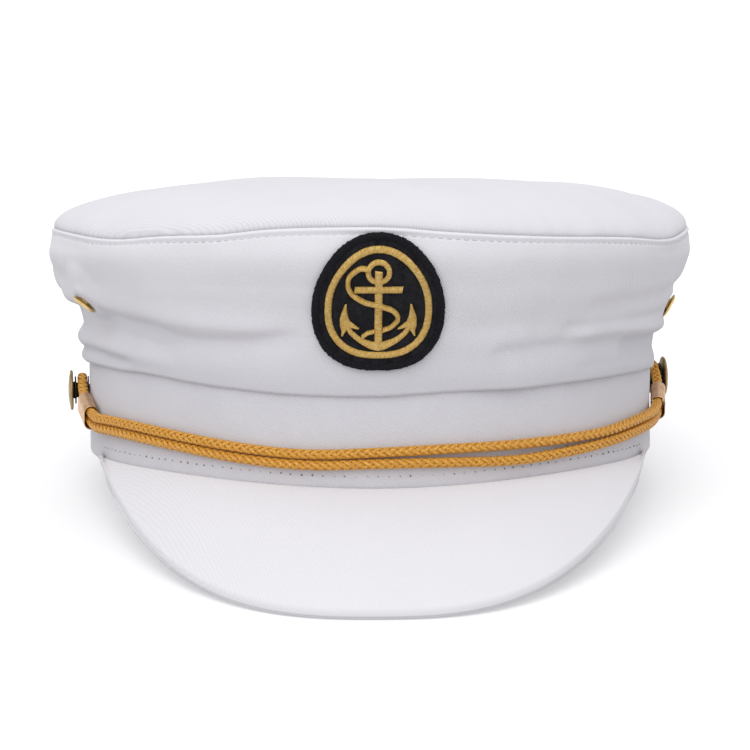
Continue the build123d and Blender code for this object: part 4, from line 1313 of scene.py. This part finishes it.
def carried_frame(points):
    """A side direction at each point that turns as little as it can."""
    way = unit(np.gradient(points, axis=0))
    side = np.zeros_like(points)
    side[0] = unit(np.cross(way[0], [0, 0, 1.0]))
    for k in range(1, len(points)):
        s = side[k - 1] - way[k] * (side[k - 1] @ way[k])
        side[k] = s / np.linalg.norm(s)
    return side, np.cross(way, side)


BRAID_PITCH = 10.4     # one strand's full turn
BRAID_RADIUS, BRAID_WEAVE = 1.04, 0.2
STRAND_WIDE, STRAND_THICK = 0.66, 0.4


def braid():
    line, at = resample(cord_line(), 0.36)
    side, other = carried_frame(line)
    turn = np.linspace(0, 2 * pi, 6, endpoint=False)
    pile = Pile()
    for spin in (1, -1):
        for index in range(4):
            angle = spin * 2 * pi * at / BRAID_PITCH + index * pi / 2
            crossing = 8 * at / BRAID_PITCH
            wave = np.cos(2 * pi * (spin * crossing + 2 * index - 0.5) / 4)
            radius = BRAID_RADIUS + spin * BRAID_WEAVE * np.clip(1.5 * wave, -1, 1)
            out = side * np.cos(angle)[:, None] + other * np.sin(angle)[:, None]
            centre = line + out * radius[:, None]
            way = unit(np.gradient(centre, axis=0))
            across = unit(np.cross(way, out))
            grid = (centre[:, None] + across[:, None] * (np.cos(turn) * STRAND_WIDE)[None, :, None]
                    + out[:, None] * (np.sin(turn) * STRAND_THICK)[None, :, None])
            st = lattice(at, np.linspace(0, 3.2, 7))[..., ::-1]
            pile.add(grid, st, wrap_v=True, caps=True)
    core_turn = np.linspace(0, 2 * pi, 6, endpoint=False)
    thin = slice(None, None, 3)
    grid = (line[thin, None] + (side[thin, None] * np.cos(core_turn)[None, :, None]
                                + other[thin, None] * np.sin(core_turn)[None, :, None]) * 0.6)
    st = lattice(at[thin], np.linspace(0, 3.2, 7))[..., ::-1]
    pile.add(grid, st, wrap_v=True, caps=True)
    obj = new_object("gold_braid_cord", pile, "chin_cord",
                     gold_yarn, ["gold_cord"])


braid()


def sleeve(name, part_here, bend_here):
    """Flat brass tube round both strands, with turned-in ends and pressed lines."""
    route = np.array(CORD_ROUTE)
    rear = (route[part_here[0]] + route[part_here[1]]) / 2
    front = (route[bend_here[0]] + route[bend_here[1]]) / 2
    forward = unit(front - rear)
    start = rear + forward * 4.6
    up = unit(np.array([0, 0, 1.0]) - forward * forward[2])
    flat = np.cross(forward, up)
    length, height, thick, wall = 13.0, 8.0, 4.7, 0.26
    count = 72
    around = np.linspace(0, 2 * pi, count, endpoint=False)
    straight, r = (height - thick) / 2, thick / 2

    def outline(offset, where):
        ex = np.sign(np.cos(around)) * straight
        x = ex + (r + offset) * np.cos(around)
        y = (r + offset) * np.sin(around)
        return start + forward * where + x[:, None] * up + y[:, None] * flat

    profile = [(-wall, 0.12), (-wall * 0.5, -0.02), (0.0, 0.12), (0.03, 0.5), (0.0, 0.9)]
    for place in np.linspace(1.4, length - 1.4, 17)[1:-1]:
        profile.append((0.035 * sin(place * 2.4), place))
    profile += [(0.0, length - 0.9), (0.03, length - 0.5), (0.0, length - 0.12),
                (-wall * 0.5, length + 0.02), (-wall, length - 0.12), (-wall, length / 2)]
    loops = np.stack([outline(o, w) for o, w in profile], 1)
    s = np.arange(count + 1) * (21.0 / count)
    st = lattice(s, np.append([w for _, w in profile], 0.0))
    pile = Pile().add(loops, st, wrap_u=True, wrap_v=True)
    return new_object("sleeve_tube_" + name, pile, "sleeve_" + name,
                      sleeve_metal, ["cord_sleeve_" + name])


sleeve("left", (14, 18), (13, 19))
sleeve("right", (36, 32), (1, 31))

# ---- Floor, light and camera --------------------------------------------------------------
BELOW, LEVEL, ABOVE = 0.58, 0.66, 1.10     # soft light from below, from the walls and from above
KEY_POWER = 0.85              # wide key light from above, in front and to the left
FLOOR_GLOW = 0.16             # the floor is a light table


def make_floor():
    n = Nodes("studio_floor")
    n.finish(n.mix(n.noise(3.0, 2.0), (0.93, 0.93, 0.935), (0.945, 0.945, 0.95)), roughness=0.9,
             specular=0.1)
    n.bsdf.inputs["Emission Color"].default_value = (1.0, 1.0, 1.0, 1.0)
    n.bsdf.inputs["Emission Strength"].default_value = FLOOR_GLOW
    mesh = bpy.data.meshes.new("studio_floor")
    half = 14.0
    mesh.from_pydata([(-half, -half, 0), (half, -half, 0), (half, half, 0), (-half, half, 0)], [],
                     [(0, 1, 2, 3)])
    mesh.materials.append(n.material)
    obj = bpy.data.objects.new("studio_floor", mesh)
    bpy.context.scene.collection.objects.link(obj)
    obj.visible_diffuse = False


def make_studio():
    scene = bpy.context.scene
    world = bpy.data.worlds.new("studio")
    world.use_nodes = True
    tree = world.node_tree
    way = tree.nodes.new("ShaderNodeTexCoord")
    split = tree.nodes.new("ShaderNodeSeparateXYZ")
    tree.links.new(way.outputs["Generated"], split.inputs[0])
    height = tree.nodes.new("ShaderNodeMath")
    height.operation = "MULTIPLY_ADD"
    height.inputs[1].default_value = height.inputs[2].default_value = 0.5
    tree.links.new(split.outputs[2], height.inputs[0])
    rise = tree.nodes.new("ShaderNodeValToRGB")
    rise.color_ramp.elements[0].position, rise.color_ramp.elements[1].position = 0.0, 1.0
    rise.color_ramp.elements.new(0.5)
    for stop, level in zip(rise.color_ramp.elements, (BELOW, LEVEL, ABOVE)):
        stop.color = (level, level, level, 1.0)
    tree.links.new(height.outputs[0], rise.inputs[0])
    background = tree.nodes["Background"]
    background.inputs["Color"].default_value = (0.985, 0.98, 1.0, 1.0)
    tree.links.new(rise.outputs[0], background.inputs["Strength"])
    scene.world = world
    sun = bpy.data.lights.new("key", "SUN")
    sun.energy, sun.angle = KEY_POWER, radians(55)
    key = bpy.data.objects.new("key", sun)
    key.rotation_euler = Vector((0.25, 0.85, -0.75)).to_track_quat("-Z", "Y").to_euler()
    scene.collection.objects.link(key)
    scene.view_settings.view_transform = "Standard"
    scene.view_settings.look = "None"
    pivot = Vector((0, HEAD_Y * MM, 0.0362))
    yaw, elevation, distance = radians(1.4), radians(14.0), 1.1
    camera = bpy.data.objects.new("camera", bpy.data.cameras.new("camera"))
    camera.location = pivot + distance * Vector((-sin(yaw) * cos(elevation),
                                                 -cos(yaw) * cos(elevation), sin(elevation)))
    camera.rotation_euler = (pivot - camera.location).to_track_quat("-Z", "Y").to_euler()
    camera.data.sensor_width = 36.0
    camera.data.lens = 161.86
    camera.data.shift_x = 5.0 / 750
    camera.data.clip_start = 0.05
    scene.collection.objects.link(camera)
    scene.camera = camera


make_floor()
make_studio()
